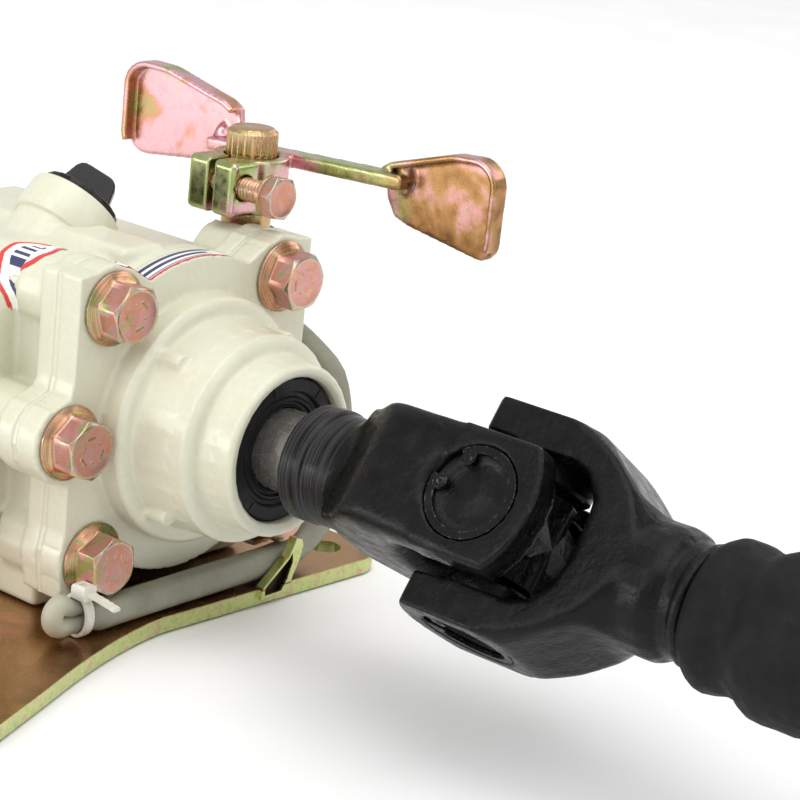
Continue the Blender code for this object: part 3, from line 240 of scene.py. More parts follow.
# Base colours of the tints that yellow zinc shows.
GREEN = (0.36, 0.42, 0.15)
GOLD = (0.66, 0.50, 0.18)
SALMON = (0.66, 0.31, 0.20)
ROSE = (0.66, 0.35, 0.35)
PINK = (0.76, 0.44, 0.47)
OLIVE = (0.46, 0.49, 0.25)
BRONZE = (0.44, 0.24, 0.10)
UMBER = (0.22, 0.11, 0.05)
BRASS = (0.52, 0.39, 0.19)
COPPER = (0.60, 0.38, 0.24)
SILVER = (0.54, 0.51, 0.46)

# Ramps over the drifting patches, as (position, colour) stops.
FLANGE_STOPS = ((0.36, GREEN), (0.44, COPPER), (0.52, SALMON), (0.60, COPPER), (0.68, GOLD))
SIDE_STOPS = ((0.36, GREEN), (0.44, ROSE), (0.52, SALMON), (0.60, ROSE), (0.68, BRASS))
TOP_STOPS = ((0.34, BRASS), (0.43, ROSE), (0.50, SALMON), (0.57, ROSE), (0.68, BRASS))
CHAMFER_STOPS = ((0.38, BRASS), (0.46, SILVER), (0.56, COPPER), (0.66, GOLD))
LEFT_PAD_STOPS = ((0.34, GREEN), (0.41, OLIVE), (0.46, PINK), (0.54, PINK), (0.60, SALMON),
                  (0.68, GREEN))
BAR_STOPS = ((0.36, ROSE), (0.43, PINK), (0.48, OLIVE), (0.55, GREEN), (0.62, OLIVE), (0.68, PINK))
# Right pad: brown zinc tint, made darker with umber and bronze as painted shade.
RIGHT_PAD_SHADED_STOPS = ((0.34, GREEN), (0.42, OLIVE), (0.47, UMBER), (0.55, BRONZE), (0.60, ROSE),
                   (0.68, GREEN))
SHEARED_STOPS = ((0.36, (0.54, 0.42, 0.24)), (0.50, (0.58, 0.62, 0.28)), (0.66, (0.44, 0.52, 0.19)))
PLATE_STOPS = ((0.34, UMBER), (0.44, BRONZE), (0.54, BRONZE), (0.62, SALMON), (0.70, UMBER))


def cream_enamel(name):
    """Semi-gloss enamel sprayed over a sand casting."""
    look = Surface(name, roughness=0.36, Coat_Weight=0.35, Coat_Roughness=0.16)
    broad = look.ramp(look.noise(38.0, 3.0), ((0.25, CREAM_LOW), (0.75, CREAM_HIGH)))
    fine = look.ramp(look.noise(1.3, 5.0), ((0.30, (0.93, 0.92, 0.88)), (0.62, (1.0, 1.0, 1.0))))
    colour = look.mix(0.6, broad, fine, "MULTIPLY")
    specks = look.ramp(look.noise(0.75, 2.0, 0.7), ((0.16, 1.0), (0.21, 0.0)))
    colour = look.mix(look.maths("MULTIPLY", specks, 0.5), colour, (0.30, 0.26, 0.15))
    patchy = look.ramp(look.noise(3.0, 4.0), ((0.48, 0.0), (0.66, 0.55)))
    worn = look.maths("MULTIPLY", look.edge(0.5), patchy)
    colour = look.mix(worn, colour, (0.80, 0.79, 0.64))
    look.bump(look.noise(4.5, 3.0), 0.16, 0.30)
    look.bump(look.noise(0.8, 3.0), 0.12, 0.06)
    return look.done(colour, look.ramp(look.noise(7.0, 4.0), ((0.3, 0.27), (0.7, 0.44))))


MOTTLE = 0.16                  # share of the fine pattern in the plating's patches


def plated(look, stops, size, wear, rub):
    """Interference colours in drifting patches, with the rub colour along worn edges."""
    patches = look.noise(size, 3.0, 0.5, 1.2)
    mottle = look.noise(size * 0.16, 4.0, 0.6, 0.6)    # about a sixth as wide
    drift = look.maths("ADD", look.maths("MULTIPLY", patches, 1 - MOTTLE),
                       look.maths("MULTIPLY", mottle, MOTTLE))
    colour = look.ramp(drift, stops)
    grain = look.ramp(look.noise(0.35, 3.0), ((0.35, (0.80, 0.80, 0.80)), (0.6, (1.0, 1.0, 1.0))))
    colour = look.mix(0.5, colour, grain, "MULTIPLY")
    scuffs = look.ramp(look.noise(1.6, 5.0, 0.65), ((0.38, 0.25), (0.60, 1.0)))
    worn = look.maths("MULTIPLY", look.maths("MULTIPLY", look.edge(0.45), scuffs), wear)
    return look.mix(worn, colour, rub)


def zinc_plating(name, stops, size, wear, rough=(0.20, 0.40), rub=(0.72, 0.66, 0.48)):
    """Iridescent yellow zinc."""
    look = Surface(name, metallic=1.0, roughness=0.3)
    colour = plated(look, stops, size, wear, rub)
    look.bump(look.noise(1.1, 4.0), 0.12, 0.08)
    look.bump(look.noise(0.25, 2.0), 0.08, 0.02)
    return look.done(colour, look.ramp(look.noise(2.6, 4.0), ((0.3, rough[0]), (0.7, rough[1]))))


def turned_plating(name, stops, size, rough=(0.22, 0.36)):
    """Yellow zinc over a turned face, with fine rings round the bolt's own axis."""
    look = Surface(name, metallic=1.0, roughness=0.3)
    colour = plated(look, stops, size, 0.9, (0.74, 0.70, 0.55))
    rings = look.noise(0.20, 1.0, 0.5, 0.0, look.stretched((1.0, 0.01, 0.01)))
    colour = look.mix(look.ramp(rings, ((0.40, 0.60), (0.54, 0.0))), colour, (0.26, 0.17, 0.07))
    look.bump(rings, 0.35, 0.05)
    return look.done(colour, look.ramp(look.noise(2.0, 4.0), ((0.3, rough[0]), (0.7, rough[1]))))


def lever_zinc(name):
    """Zinc on the lever: pink on the left pad, green on clamp and bar, and brown on the right pad,
    partly its zinc tint and partly painted shade.
    """
    look = Surface(name, metallic=1.0, roughness=0.3)
    rub = (0.66, 0.68, 0.30)
    colour = plated(look, LEFT_PAD_STOPS, 30.0, 0.9, rub)
    across = look.maths("MULTIPLY", look.axis("X"), 10.0)
    colour = look.mix(look.ramp(across, ((0.19, 0.0), (0.24, 1.0))), colour,
                      plated(look, BAR_STOPS, 24.0, 0.9, rub))
    # Right pad gets its own darker stops, partly zinc tint and partly painted shade.
    colour = look.mix(look.ramp(across, ((0.68, 0.0), (0.78, 1.0))), colour,
                      plated(look, RIGHT_PAD_SHADED_STOPS, 34.0, 0.9, rub))
    look.bump(look.noise(1.1, 4.0), 0.12, 0.08)
    look.bump(look.noise(0.25, 2.0), 0.08, 0.02)
    return look.done(colour, look.ramp(look.noise(2.6, 4.0), ((0.3, 0.20), (0.7, 0.38))))


PLATE_TOP = 4.0
DISH_X = (66.25, 67.0)         # the dish in the plate's tab
DISH_Y = (18.7, 28.6)
DISH_Z = (2.3, 20.0)
DISH_SLANT = 0.82              # rise of the tab's upper rim along Y
DISH_UNDER_RIM = (-40.0, -10.95)
# Near-black colour of the painted shade in the tab's dish.
DISH_SHADE = (0.030, 0.022, 0.014)


def plate_zinc(name):
    """Bronze zinc on the plate, greenish on its sheared edge and tab, and painted shade in the tab's
    dish.
    """
    look = Surface(name, metallic=1.0, roughness=0.3)
    colour = plated(look, PLATE_STOPS, 70.0, 0.5, (0.60, 0.62, 0.26))
    sheared = look.ramp(look.noise(3.0, 5.0, 0.65), SHEARED_STOPS)
    height = look.axis("Z")
    low = look.maths("LESS_THAN", height, (PLATE_TOP - 0.2) * MM)
    raised = look.maths("GREATER_THAN", height, (PLATE_TOP + 0.3) * MM)
    colour = look.mix(look.maths("ADD", low, raised), colour, sheared)
    along = look.axis("Y")
    slanted = look.maths("SUBTRACT", height, look.maths("MULTIPLY", along, DISH_SLANT))
    dish = 1.0
    for place, (start, end) in ((look.axis("X"), DISH_X), (along, DISH_Y), (height, DISH_Z),
                                (slanted, DISH_UNDER_RIM)):
        dish = look.maths("MULTIPLY", dish, look.maths("GREATER_THAN", place, start * MM))
        dish = look.maths("MULTIPLY", dish, look.maths("LESS_THAN", place, end * MM))
    # Painted shade: the near-black colour is laid over the dish region of the tab.
    colour = look.mix(dish, colour, DISH_SHADE)
    look.bump(look.noise(1.4, 4.0), 0.10, 0.08)
    look.bump(look.noise(0.3, 2.0), 0.07, 0.02)
    return look.done(colour, look.ramp(look.noise(5.0, 4.0), ((0.3, 0.22), (0.7, 0.36))))


def forged_black(name, machined_to=None, grain=1.0):
    """Satin black paint over forging scale, chipped along the edges."""
    look = Surface(name, roughness=0.3, Specular_IOR_Level=0.19)
    colour = look.ramp(look.noise(9.0, 4.0), ((0.3, (0.0015, 0.0015, 0.0016)), (0.7, 0.0040)))
    dust = look.ramp(look.noise(5.0, 5.0, 0.7), ((0.54, 0.0), (0.80, 0.40)))
    if machined_to is not None:
        forged_side = look.maths("GREATER_THAN", look.axis("X"), machined_to * MM)
        turned_side = look.maths("SUBTRACT", 1.0, forged_side)
        dust = look.maths("MULTIPLY", dust, forged_side)
        rings = look.noise(0.26, 1.0, 0.5, 0.0, look.stretched((1.0, 0.01, 0.01)))
        rings = look.maths("MULTIPLY", look.ramp(rings, ((0.42, 0.0), (0.60, 1.0))), turned_side)
        colour = look.mix(rings, colour, (0.034, 0.034, 0.036))
    colour = look.mix(dust, colour, (0.026, 0.026, 0.017))
    chips = look.ramp(look.noise(1.4, 5.0, 0.7), ((0.52, 0.0), (0.62, 0.7)))
    colour = look.mix(look.maths("MULTIPLY", look.edge(0.5), chips), colour, (0.24, 0.23, 0.20))
    rough = look.ramp(look.noise(4.0, 4.0), ((0.3, 0.18), (0.7, 0.40)))
    forging = look.noise(4.2, 5.0, 0.62)
    scale = look.noise(0.9, 4.0, 0.6)
    if machined_to is not None:
        forging = look.maths("MULTIPLY", forging, forged_side)
        scale = look.maths("MULTIPLY", scale, forged_side)
        look.bump(rings, 0.6, 0.05)
    look.bump(forging, 0.48 * grain, 0.80)
    look.bump(scale, 0.42 * grain, 0.18)
    return look.done(colour, rough)


def turned_metal(name, dark, light, roughness, pitch=0.35, stained=0.45, metallic=1.0):
    """Turned or ground metal with fine rings round the shaft line and a few stains."""
    look = Surface(name, metallic=metallic, roughness=roughness)
    rings = look.noise(pitch, 3.0, 0.6, 0.0, look.stretched((1.0, 0.02, 0.02)))
    colour = look.ramp(rings, ((0.3, dark), (0.7, light)))
    stains = look.ramp(look.noise(3.5, 4.0, 0.65), ((0.50, 0.0), (0.75, stained)))
    colour = look.mix(stains, colour, tuple(0.55 * part for part in dark))
    look.bump(rings, 0.12, 0.02)
    low, high = roughness * 0.75, roughness * 1.35
    return look.done(colour, look.ramp(look.noise(2.2, 4.0), ((0.3, low), (0.7, high))))


def black_rubber(name, size, strength, low=0.46, high=0.72):
    """Black rubber with a dusty bloom; size and strength are those of its ripples."""
    look = Surface(name, roughness=0.6, Specular_IOR_Level=0.19)
    colour = look.ramp(look.noise(6.0, 4.0), ((0.3, (0.0030, 0.0030, 0.0033)), (0.7, 0.0080)))
    bloom = look.ramp(look.noise(2.2, 5.0, 0.7), ((0.56, 0.0), (0.80, 0.30)))
    colour = look.mix(bloom, colour, (0.028, 0.028, 0.026))
    look.bump(look.noise(size, 4.0), strength, 0.35)
    look.bump(look.noise(0.4, 3.0), 0.10, 0.04)
    return look.done(colour, look.ramp(look.noise(3.0, 4.0), ((0.3, low), (0.7, high))))


HOSE_LOW = (0.205, 0.203, 0.150)
HOSE_HIGH = (0.285, 0.282, 0.215)


def hose_rubber(name):
    """Grey green rubber that is paler at the far end of its fold."""
    look = Surface(name, roughness=0.5)
    colour = look.ramp(look.noise(11.0, 4.0), ((0.3, HOSE_LOW), (0.7, HOSE_HIGH)))
    scuffs = look.ramp(look.noise(1.3, 5.0, 0.7), ((0.57, 0.0), (0.75, 0.4)))
    colour = look.mix(scuffs, colour, (0.40, 0.39, 0.32))
    # Paler towards the far end of the fold, set by position along Y.
    stretched = look.ramp(look.maths("MULTIPLY", look.axis("Y"), -10.0), ((0.415, 0.0), (0.455, 0.75)))
    colour = look.mix(stretched, colour, (0.50, 0.48, 0.36))
    look.bump(look.noise(1.8, 4.0), 0.18, 0.12)
    return look.done(colour, look.ramp(look.noise(3.0, 3.0), ((0.3, 0.38), (0.7, 0.58))))


def moulded(name, dark, light, roughness, sheen_size=2.0, **sockets):
    """Moulded plastic or pressed paper with faint mottling."""
    look = Surface(name, roughness=roughness, **sockets)
    colour = look.ramp(look.noise(sheen_size * 2.0, 4.0), ((0.3, dark), (0.7, light)))
    look.bump(look.noise(sheen_size * 0.4, 3.0), 0.10, 0.05)
    low, high = roughness * 0.8, min(1.0, roughness * 1.3)
    return look.done(colour, look.ramp(look.noise(sheen_size, 3.0), ((0.3, low), (0.7, high))))


finish = {
    "cream": cream_enamel("cream_enamel"),
    "flange": turned_plating("zinc_bolt_flange", FLANGE_STOPS, 9.0),
    "bolt_side": zinc_plating("zinc_bolt_side", SIDE_STOPS, 9.0, 0.9, (0.26, 0.42)),
    "bolt_top": zinc_plating("zinc_bolt_top", TOP_STOPS, 9.0, 0.8, (0.28, 0.44)),
    "chamfer": zinc_plating("zinc_bolt_chamfer", CHAMFER_STOPS, 5.0, 0.9, (0.20, 0.34)),
    "lever": lever_zinc("zinc_lever"),
    "plate": plate_zinc("zinc_plate"),
    "weld": zinc_plating("zinc_weld", ((0.40, GREEN), (0.50, GOLD), (0.60, GREEN)), 5.0, 0.9,
                         rub=(0.74, 0.76, 0.34)),
    "shift": zinc_plating("zinc_shaft", ((0.35, SALMON), (0.50, BRASS), (0.65, SALMON)), 8.0, 0.9,
                          rub=(0.80, 0.74, 0.50)),
    "yoke": forged_black("forged_black"),
    "hub_yoke": forged_black("forged_black_hub", machined_to=110.0),
    "tube": forged_black("painted_tube", grain=0.35),
    "sleeve": turned_metal("sleeve_steel_skin", (0.44, 0.41, 0.37), (0.62, 0.59, 0.55), 0.26,
                           stained=0.25, metallic=0.85),
    "ground": turned_metal("ground_steel_skin", (0.58, 0.56, 0.53), (0.78, 0.76, 0.73), 0.22,
                           stained=0.12),
    "gear": turned_metal("gear_steel_skin", (0.26, 0.26, 0.28), (0.46, 0.46, 0.48), 0.32),
    "bearing": turned_metal("bearing_steel_skin", (0.48, 0.48, 0.50), (0.70, 0.70, 0.72), 0.18),
    "bronze": turned_metal("bronze_skin", (0.40, 0.23, 0.09), (0.62, 0.40, 0.18), 0.32),
    "seal": black_rubber("seal_rubber", 2.0, 0.10, 0.34, 0.58),
    "boot": black_rubber("boot_rubber", 7.0, 0.35),
    "hose": hose_rubber("hose_rubber"),
    "cap": moulded("cap_plastic", (0.006, 0.006, 0.007), (0.012, 0.012, 0.013), 0.24,
                   Specular_IOR_Level=0.30),
    "nylon": moulded("natural_nylon", (0.66, 0.64, 0.55), (0.80, 0.78, 0.70), 0.40, 1.5,
                     Subsurface_Weight=0.15, Subsurface_Radius=(0.002, 0.002, 0.0015)),
    "label": moulded("label_film", (0.86, 0.86, 0.84), (0.92, 0.92, 0.90), 0.30, 6.0),
    "red": moulded("label_red", (0.62, 0.035, 0.030), (0.72, 0.050, 0.045), 0.32, 6.0),
    "ink": moulded("label_ink", (0.030, 0.035, 0.10), (0.050, 0.055, 0.14), 0.34, 6.0),
}


# ---- mesh helpers ----
def frame_on(centre, direction, clock=0.0):
    """Matrix that puts local Z along the direction, turned by clock about it."""
    z = Vector(direction).normalized()
    turn = Vector((0, 0, 1)).rotation_difference(z).to_matrix().to_4x4()
    return Matrix.Translation(centre) @ turn @ Matrix.Rotation(clock, 4, "Z")


def add_piece(name, bm, look, body, replaced=(), smooth=True):
    """Turns a bmesh in millimetres into a piece that rides on a body."""
    bmesh.ops.recalc_face_normals(bm, faces=bm.faces)
    bmesh.ops.transform(bm, matrix=Matrix.Scale(MM, 4), verts=bm.verts)
    for face in bm.faces:
        face.smooth = smooth
    mesh = bpy.data.meshes.new(name)
    bm.to_mesh(mesh)
    bm.free()
    if smooth:
        mesh.set_sharp_from_angle(angle=math.radians(38))
    piece = bpy.data.objects.new(name, mesh)
    for part in (look if isinstance(look, (list, tuple)) else [look]):
        mesh.materials.append(finish[part])
    bpy.context.scene.collection.objects.link(piece)
    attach(piece, body)
    if replaced:
        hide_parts(*replaced)
    return piece


def loft(bm, rings, place=Matrix.Identity(4), closed=False, caps=True):
    """Skins rings of points; each ring has the same number of points and closes on itself."""
    rows = [[bm.verts.new(place @ Vector(point)) for point in ring] for ring in rings]
    count = len(rows[0])
    pairs = list(zip(rows, rows[1:]))
    if closed:
        pairs.append((rows[-1], rows[0]))
    for low, high in pairs:
        for i in range(count):
            j = (i + 1) % count
            bm.faces.new((low[i], low[j], high[j], high[i]))
    if caps and not closed:
        bm.faces.new(list(reversed(rows[0])))
        bm.faces.new(rows[-1])
    return bm


def turned_rings(profile, sides, ripple=None):
    """Rings of a turned shape from (height, radius) pairs.

    Ripple(angle, height, radius) gives what is added to the radius there.
    """
    rings = []
    for height, radius in profile:
        ring = []
        for i in range(sides):
            angle = 2 * math.pi * i / sides
            reach = radius + (ripple(angle, height, radius) if ripple else 0.0)
            ring.append((reach * math.cos(angle), reach * math.sin(angle), height))
        rings.append(ring)
    return rings


def turned(name, profile, centre, direction, look, body, replaced=(), sides=96,
           closed=False, ripple=None):
    """Turned piece; a closed profile makes a ring, and an open one is capped at both ends."""
    bm = bmesh.new()
    loft(bm, turned_rings(profile, sides, ripple), frame_on(centre, direction), closed=closed)
    return add_piece(name, bm, look, body, replaced)


def box_into(bm, centre, half, place=Matrix.Identity(4)):
    """Small block whose top edges are drawn in, for marks and tags."""
    corners = ((-1, -1), (1, -1), (1, 1), (-1, 1))
    rings = []
    for height, inset in ((-1, 0.0), (0.6, 0.0), (1, 0.22)):
        x = half[0] - inset * min(half[:2])
        y = half[1] - inset * min(half[:2])
        z = centre[2] + height * half[2]
        rings.append([(centre[0] + sx * x, centre[1] + sy * y, z) for sx, sy in corners])
    loft(bm, rings, place)


# ---- hose, made before the other pieces ----
HOSE_RADIUS = 3.8
HOSE_ROUTE = [
    (14.0, 47.5, 62.0), (14.2, 52.0, 62.0), (19.0, 56.6, 61.0), (28.0, 57.6, 59.0), (38.0, 57.0, 56.3),
    (46.5, 56.2, 52.9), (51.5, 55.8, 49.8), (54.4, 55.5, 44.0), (56.2, 55.0, 37.0), (58.5, 53.0, 28.0),
    (60.3, 49.5, 20.0), (61.0, 43.5, 13.6), (61.0, 36.0, 9.3), (61.0, 28.0, 8.2), (61.0, 18.0, 8.1),
    (61.0, 4.0, 8.1), (61.0, -10.0, 8.1), (61.0, -24.0, 8.1), (61.0, -33.0, 8.0),
]
FOLD_CENTRE = Vector((61.0, -44.4, 10.6))
FOLD_RADIUS = 2.8
FOLD_SQUASH = 0.68             # the hose's thickness where it is folded, as a share of the whole
TIE_SQUASH = 0.54              # and where the cable tie pinches it
INTO_FOLD = [((61.0, -36.0, 7.9), 0.78), ((61.0, -38.2, 7.5), TIE_SQUASH)]
OUT_OF_FOLD = [((61.0, -41.6, 11.7), TIE_SQUASH), ((61.0, -37.8, 11.8), TIE_SQUASH)]


def smooth_route(points, step):
    """Catmull-Rom curve through the points, read off about every step."""
    knots = [Vector(point) for point in points]
    dense = []
    for i in range(len(knots) - 1):
        before = knots[max(i - 1, 0)]
        after = knots[min(i + 2, len(knots) - 1)]
        start, end = knots[i], knots[i + 1]
        for j in range(12):
            t = j / 12
            dense.append(0.5 * ((2 * start) + (end - before) * t
                                + (2 * before - 5 * start + 4 * end - after) * t ** 2
                                + (3 * start - before - 3 * end + after) * t ** 3))
    dense.append(knots[-1])
    picked = [dense[0]]
    for point in dense:
        if (point - picked[-1]).length >= step:
            picked.append(point)
    picked[-1] = dense[-1]
    return picked


def make_hose():
    """Vent hose that runs down to the plate and is folded shut at its free end."""
    route = [(point, 1.0) for point in smooth_route(HOSE_ROUTE, 3.0)]
    route += [(Vector(point), squash) for point, squash in INTO_FOLD]
    for i in range(13):
        angle = math.radians(-90 - i * 15)
        offset = Vector((0, math.cos(angle), math.sin(angle))) * FOLD_RADIUS
        route.append((FOLD_CENTRE + offset, FOLD_SQUASH))
    route += [(Vector(point), squash) for point, squash in OUT_OF_FOLD]
    curve = bpy.data.curves.new("hose_skin", "CURVE")
    curve.dimensions = "3D"
    curve.bevel_depth = HOSE_RADIUS * MM
    curve.bevel_resolution = 8
    curve.use_fill_caps = True
    spline = curve.splines.new("POLY")
    spline.points.add(len(route) - 1)
    for spot, (point, scale) in zip(spline.points, route):
        spot.co = (*(point * MM), 1.0)
        spot.radius = scale
    curve.materials.append(finish["hose"])
    hose = bpy.data.objects.new("hose_skin", curve)
    bpy.context.scene.collection.objects.link(hose)
    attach(hose, "gearbox")
    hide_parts("vent_hose")


make_hose()


# ---- castings and forgings ----
def evaluated_mesh(piece):
    graph = bpy.context.evaluated_depsgraph_get()
    return bpy.data.meshes.new_from_object(piece.evaluated_get(graph), depsgraph=graph)


WELD_DISTANCE_M = 2e-6
NEAR_ROUND = 0.12              # how far a point may stand off a round face and still belong to it
FACET_SAG = 0.022              # and how much further in, for each millimetre of radius
FACES_OUT = 0.9                # least cosine between the point's normal and the radius


def true_up(mesh, rounds):
    """Moves points near a faceted round face out to its true radius.

    Each round is (point on the axis, axis, radius, start, end), with start and end along the axis.
    """
    normals = [vertex.normal.copy() for vertex in mesh.vertices]
    for base, axis, radius, start, end in rounds:
        axis = Vector(axis).normalized()
        base = Vector(base)
        slack = radius * FACET_SAG + NEAR_ROUND
        for vertex, normal in zip(mesh.vertices, normals):
            offset = vertex.co / MM - base
            along = offset.dot(axis)
            if not start < along < end:
                continue
            across = offset - axis * along
            reach = across.length
            if not radius - slack < reach < radius + NEAR_ROUND:
                continue
            if abs(normal.dot(across / reach)) < FACES_OUT:
                continue
            vertex.co = (base + axis * along + across * (radius / reach)) * MM


def cast_skin(node, look, body, voxel, passes, rounds=(), blend=None):
    """The node's own shape with the small radii that casting or forging leaves on every edge.

    Voxel is the grain of the new mesh, and passes is how often it is smoothed.
    Blend is (start, end, passes): a stretch along the shaft whose shoulders are rounded much more.
    """
    mesh = nodes[node].data.copy()
    bm = bmesh.new()
    bm.from_mesh(mesh)
    bmesh.ops.remove_doubles(bm, verts=bm.verts, dist=WELD_DISTANCE_M)
    bm.to_mesh(mesh)
    bm.free()
    rough = bpy.data.objects.new(node + "_source", mesh)
    bpy.context.scene.collection.objects.link(rough)
    remesh = rough.modifiers.new("remesh", "REMESH")
    remesh.mode = "VOXEL"
    remesh.voxel_size = voxel * MM
    skin_mesh = evaluated_mesh(rough)
    bpy.data.objects.remove(rough)
    true_up(skin_mesh, rounds)
    skin = bpy.data.objects.new(node + "_skin", skin_mesh)
    bpy.context.scene.collection.objects.link(skin)
    smooth = skin.modifiers.new("smooth", "SMOOTH")
    smooth.factor = 0.5
    smooth.iterations = passes
    if blend is not None:
        start, end, more = blend
        group = skin.vertex_groups.new(name="blend")
        group.add([v.index for v in skin_mesh.vertices if start < v.co.x / MM < end], 1.0, "REPLACE")
        blending = skin.modifiers.new("blend", "SMOOTH")
        blending.factor = 0.5
        blending.iterations = more
        blending.vertex_group = group.name
    done = evaluated_mesh(skin)
    skin.modifiers.clear()
    skin.data = done
    true_up(done, rounds)
    done.materials.clear()
    done.materials.append(finish[look])
    done.shade_smooth()
    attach(skin, body)
    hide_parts(node)
    return skin


def bolt_centres(stem, count, axis_out):
    """Middle of each bolt, and the corner of its box on the side that its head faces."""
    places = []
    for index in range(count):
        low, high = box_mm(f"{stem}_{index + 1}")
        places.append(((low + high) / 2, high if axis_out > 0 else low))
    return places


COVER_HEAD = 8.2               # height of a head above its seat
INPUT_HEAD = 6.0
cover_bolts = bolt_centres("cover_bolt", 6, 1)
lobe_rounds = [((0, centre.y, centre.z), ALONG_SHAFT, 10.3, 12.0, 56.0) for centre, _ in cover_bolts]
cover_rounds = lobe_rounds + [
    (SHAFT, ALONG_SHAFT, 39.2, 40.0, 56.0), (SHAFT, ALONG_SHAFT, 30.5, 55.6, 62.2),
    (SHAFT, ALONG_SHAFT, 25.5, 62.2, 78.6), (SHAFT, ALONG_SHAFT, 21.0, 78.6, 88.0),
    (SHAFT, ALONG_SHAFT, 17.8, 76.0, 88.0),
]
housing_skin = cast_skin("housing", "cream", "gearbox", 0.75, 4, cover_rounds)
cover_skin = cast_skin("output_cover", "cream", "gearbox", 0.5, 4, cover_rounds)
cast_skin("input_cover", "cream", "gearbox", 0.8, 3)
yoke_rounds = [(SHAFT, ALONG_SHAFT, 13.8, 96.0, 102.0), (SHAFT, ALONG_SHAFT, 13.2, 102.6, 118.0)]
neck_rounds = [(SHAFT, ALONG_SHAFT, 12.9, 199.4, 202.4), (SHAFT, ALONG_SHAFT, 12.4, 205.0, 236.0)]
cast_skin("inner_yoke", "hub_yoke", "output", 0.5, 12, yoke_rounds, (106.0, 146.0, 240))
cast_skin("outer_yoke", "yoke", "propeller", 0.5, 14, neck_rounds, (166.0, 191.0, 45))
cast_skin("shift_lever", "lever", "shift", 0.42, 3,
          [(SHIFT, (0, 0, 1), 9.8, -40.0, 40.0)])
cast_skin("filler_cap", "cap", "filler", 0.32, 4)


MOUTH_PAST_STEM = 10.8         # from the low corner of the cap's box to the mouth, in Y and in Z


def make_filler_collar():
    """Thick collar round the mouth of the filler boss."""
    low, high = box_mm("filler_cap")
    mouth = Vector(((low.x + high.x) / 2, low.y + MOUTH_PAST_STEM, low.z + MOUTH_PAST_STEM))
    profile = [(-9.6, 11.0), (-9.2, 12.0), (-8.4, 12.4), (-1.2, 12.4), (-0.3, 12.1), (0.0, 11.6),
               (0.0, 11.0)]
    turned("filler_collar", profile, mouth, joints["filler_pull"]["axis"], "cream", "gearbox",
           closed=True)


make_filler_collar()


JOINT_REACH = 0.55             # how far the strip goes into each casting


def make_joint_strip():
    """Painted-over gasket: its own outline, thick enough to reach into both castings."""
    mesh = nodes["cover_gasket"].data.copy()
    low, high = box_mm("cover_gasket")
    middle = (low.x + high.x) / 2 * MM
    for vertex in mesh.vertices:
        vertex.co.x += math.copysign(JOINT_REACH * MM, vertex.co.x - middle)
    mesh.materials.clear()
    mesh.materials.append(finish["cream"])
    strip = bpy.data.objects.new("joint_strip", mesh)
    bpy.context.scene.collection.objects.link(strip)
    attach(strip, "gearbox")
    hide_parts("cover_gasket")


make_joint_strip()


# ---- bolts ----
BOLT_LOOKS = ("flange", "bolt_side", "chamfer", "bolt_top")
BOLT_SIDE, BOLT_CHAMFER, BOLT_TOP = 1, 2, 3


def hexagon_reach(angle, flats, clock):
    """Distance from the centre to a hexagon's side in this direction."""
    turn = (angle - clock) % (math.pi / 3) - math.pi / 6
    return flats / 2 / math.cos(turn)


def bolt_head(bm, place, flats, flange, head, clock, sides=96):
    """Flange, sloping skirt, hexagon with a turned chamfer, and a shallow dish in its top."""
    chamfer_from = flats / 2 * 0.965
    angles = [2 * math.pi * i / sides for i in range(sides)]

    def ring(reach, height):
        return [(reach(a) * math.cos(a), reach(a) * math.sin(a), height(a)) for a in angles]

    def corner(a):
        return hexagon_reach(a, flats, clock)

    def chamfer(a, share):
        reach = chamfer_from + (corner(a) - chamfer_from) * share
        return head - max(0.0, reach - chamfer_from) * 0.60

    rings = [ring(lambda a, r=r: r, lambda a, h=h: h) for h, r in (
        (0.3, flange * 0.5), (0.3, flange - 0.15), (0.45, flange), (0.95, flange),
        (1.15, flange - 0.25))]
    for share, height in ((0.45, 1.75), (0.85, 2.25), (1.0, 2.60)):
        rings.append(ring(lambda a, s=share: flange * (1 - s) + corner(a) * s, lambda a, h=height: h))
    rings.append(ring(corner, lambda a: chamfer(a, 1.0)))
    for share in (0.66, 0.33, 0.0):
        rings.append(ring(lambda a, s=share: chamfer_from + (corner(a) - chamfer_from) * s,
                          lambda a, s=share: chamfer(a, s)))
    for inward, drop in ((0.92, 0.0), (0.86, 0.13), (0.40, 0.16), (0.05, 0.16)):
        rings.append(ring(lambda a, s=inward: chamfer_from * s, lambda a, d=drop: head - d))
    loft(bm, rings, place)
    bm.faces.ensure_lookup_table()
    bands = ((BOLT_SIDE, 7, 8), (BOLT_CHAMFER, 8, 12), (BOLT_TOP, 12, len(rings) - 1))
    for look, first, last in bands:
        for face in bm.faces[first * sides:last * sides]:
            face.material_index = look
    bm.faces[-1].material_index = BOLT_TOP


def head_marks(bm, place, flats, head, clock):
    """Plain raised dashes and dots that stand for a forged head's marks."""
    for i in range(3):
        angle = clock + 2 * math.pi * i / 3
        spot = place @ Matrix.Rotation(angle, 4, "Z")
        box_into(bm, (flats * 0.25, 0, head - 0.12), (flats * 0.028, flats * 0.10, 0.10), spot)
        box_into(bm, (flats * 0.12, flats * 0.17, head - 0.12), (0.28, 0.28, 0.10), spot)


THREAD_STEP = 0.6


def make_bolt(node, centre, axis, flats, flange, head, shank, length, clock):
    """Flange bolt with a ringed shank; the centre is where its flange rests."""
    bm = bmesh.new()
    place = frame_on(centre, axis)
    bolt_head(bm, place, flats, flange, head, clock)
    head_marks(bm, place, flats, head, clock)
    thread = [(THREAD_STEP, shank * 0.98)]
    for i in range(int(length / THREAD_STEP)):
        thread.append((-THREAD_STEP * i, shank * (0.98 if i % 2 else 0.90)))
    thread.append((-length, shank * 0.8))
    loft(bm, turned_rings(list(reversed(thread)), 32), place)
    add_piece(node + "_skin", bm, BOLT_LOOKS, "gearbox", (node,))


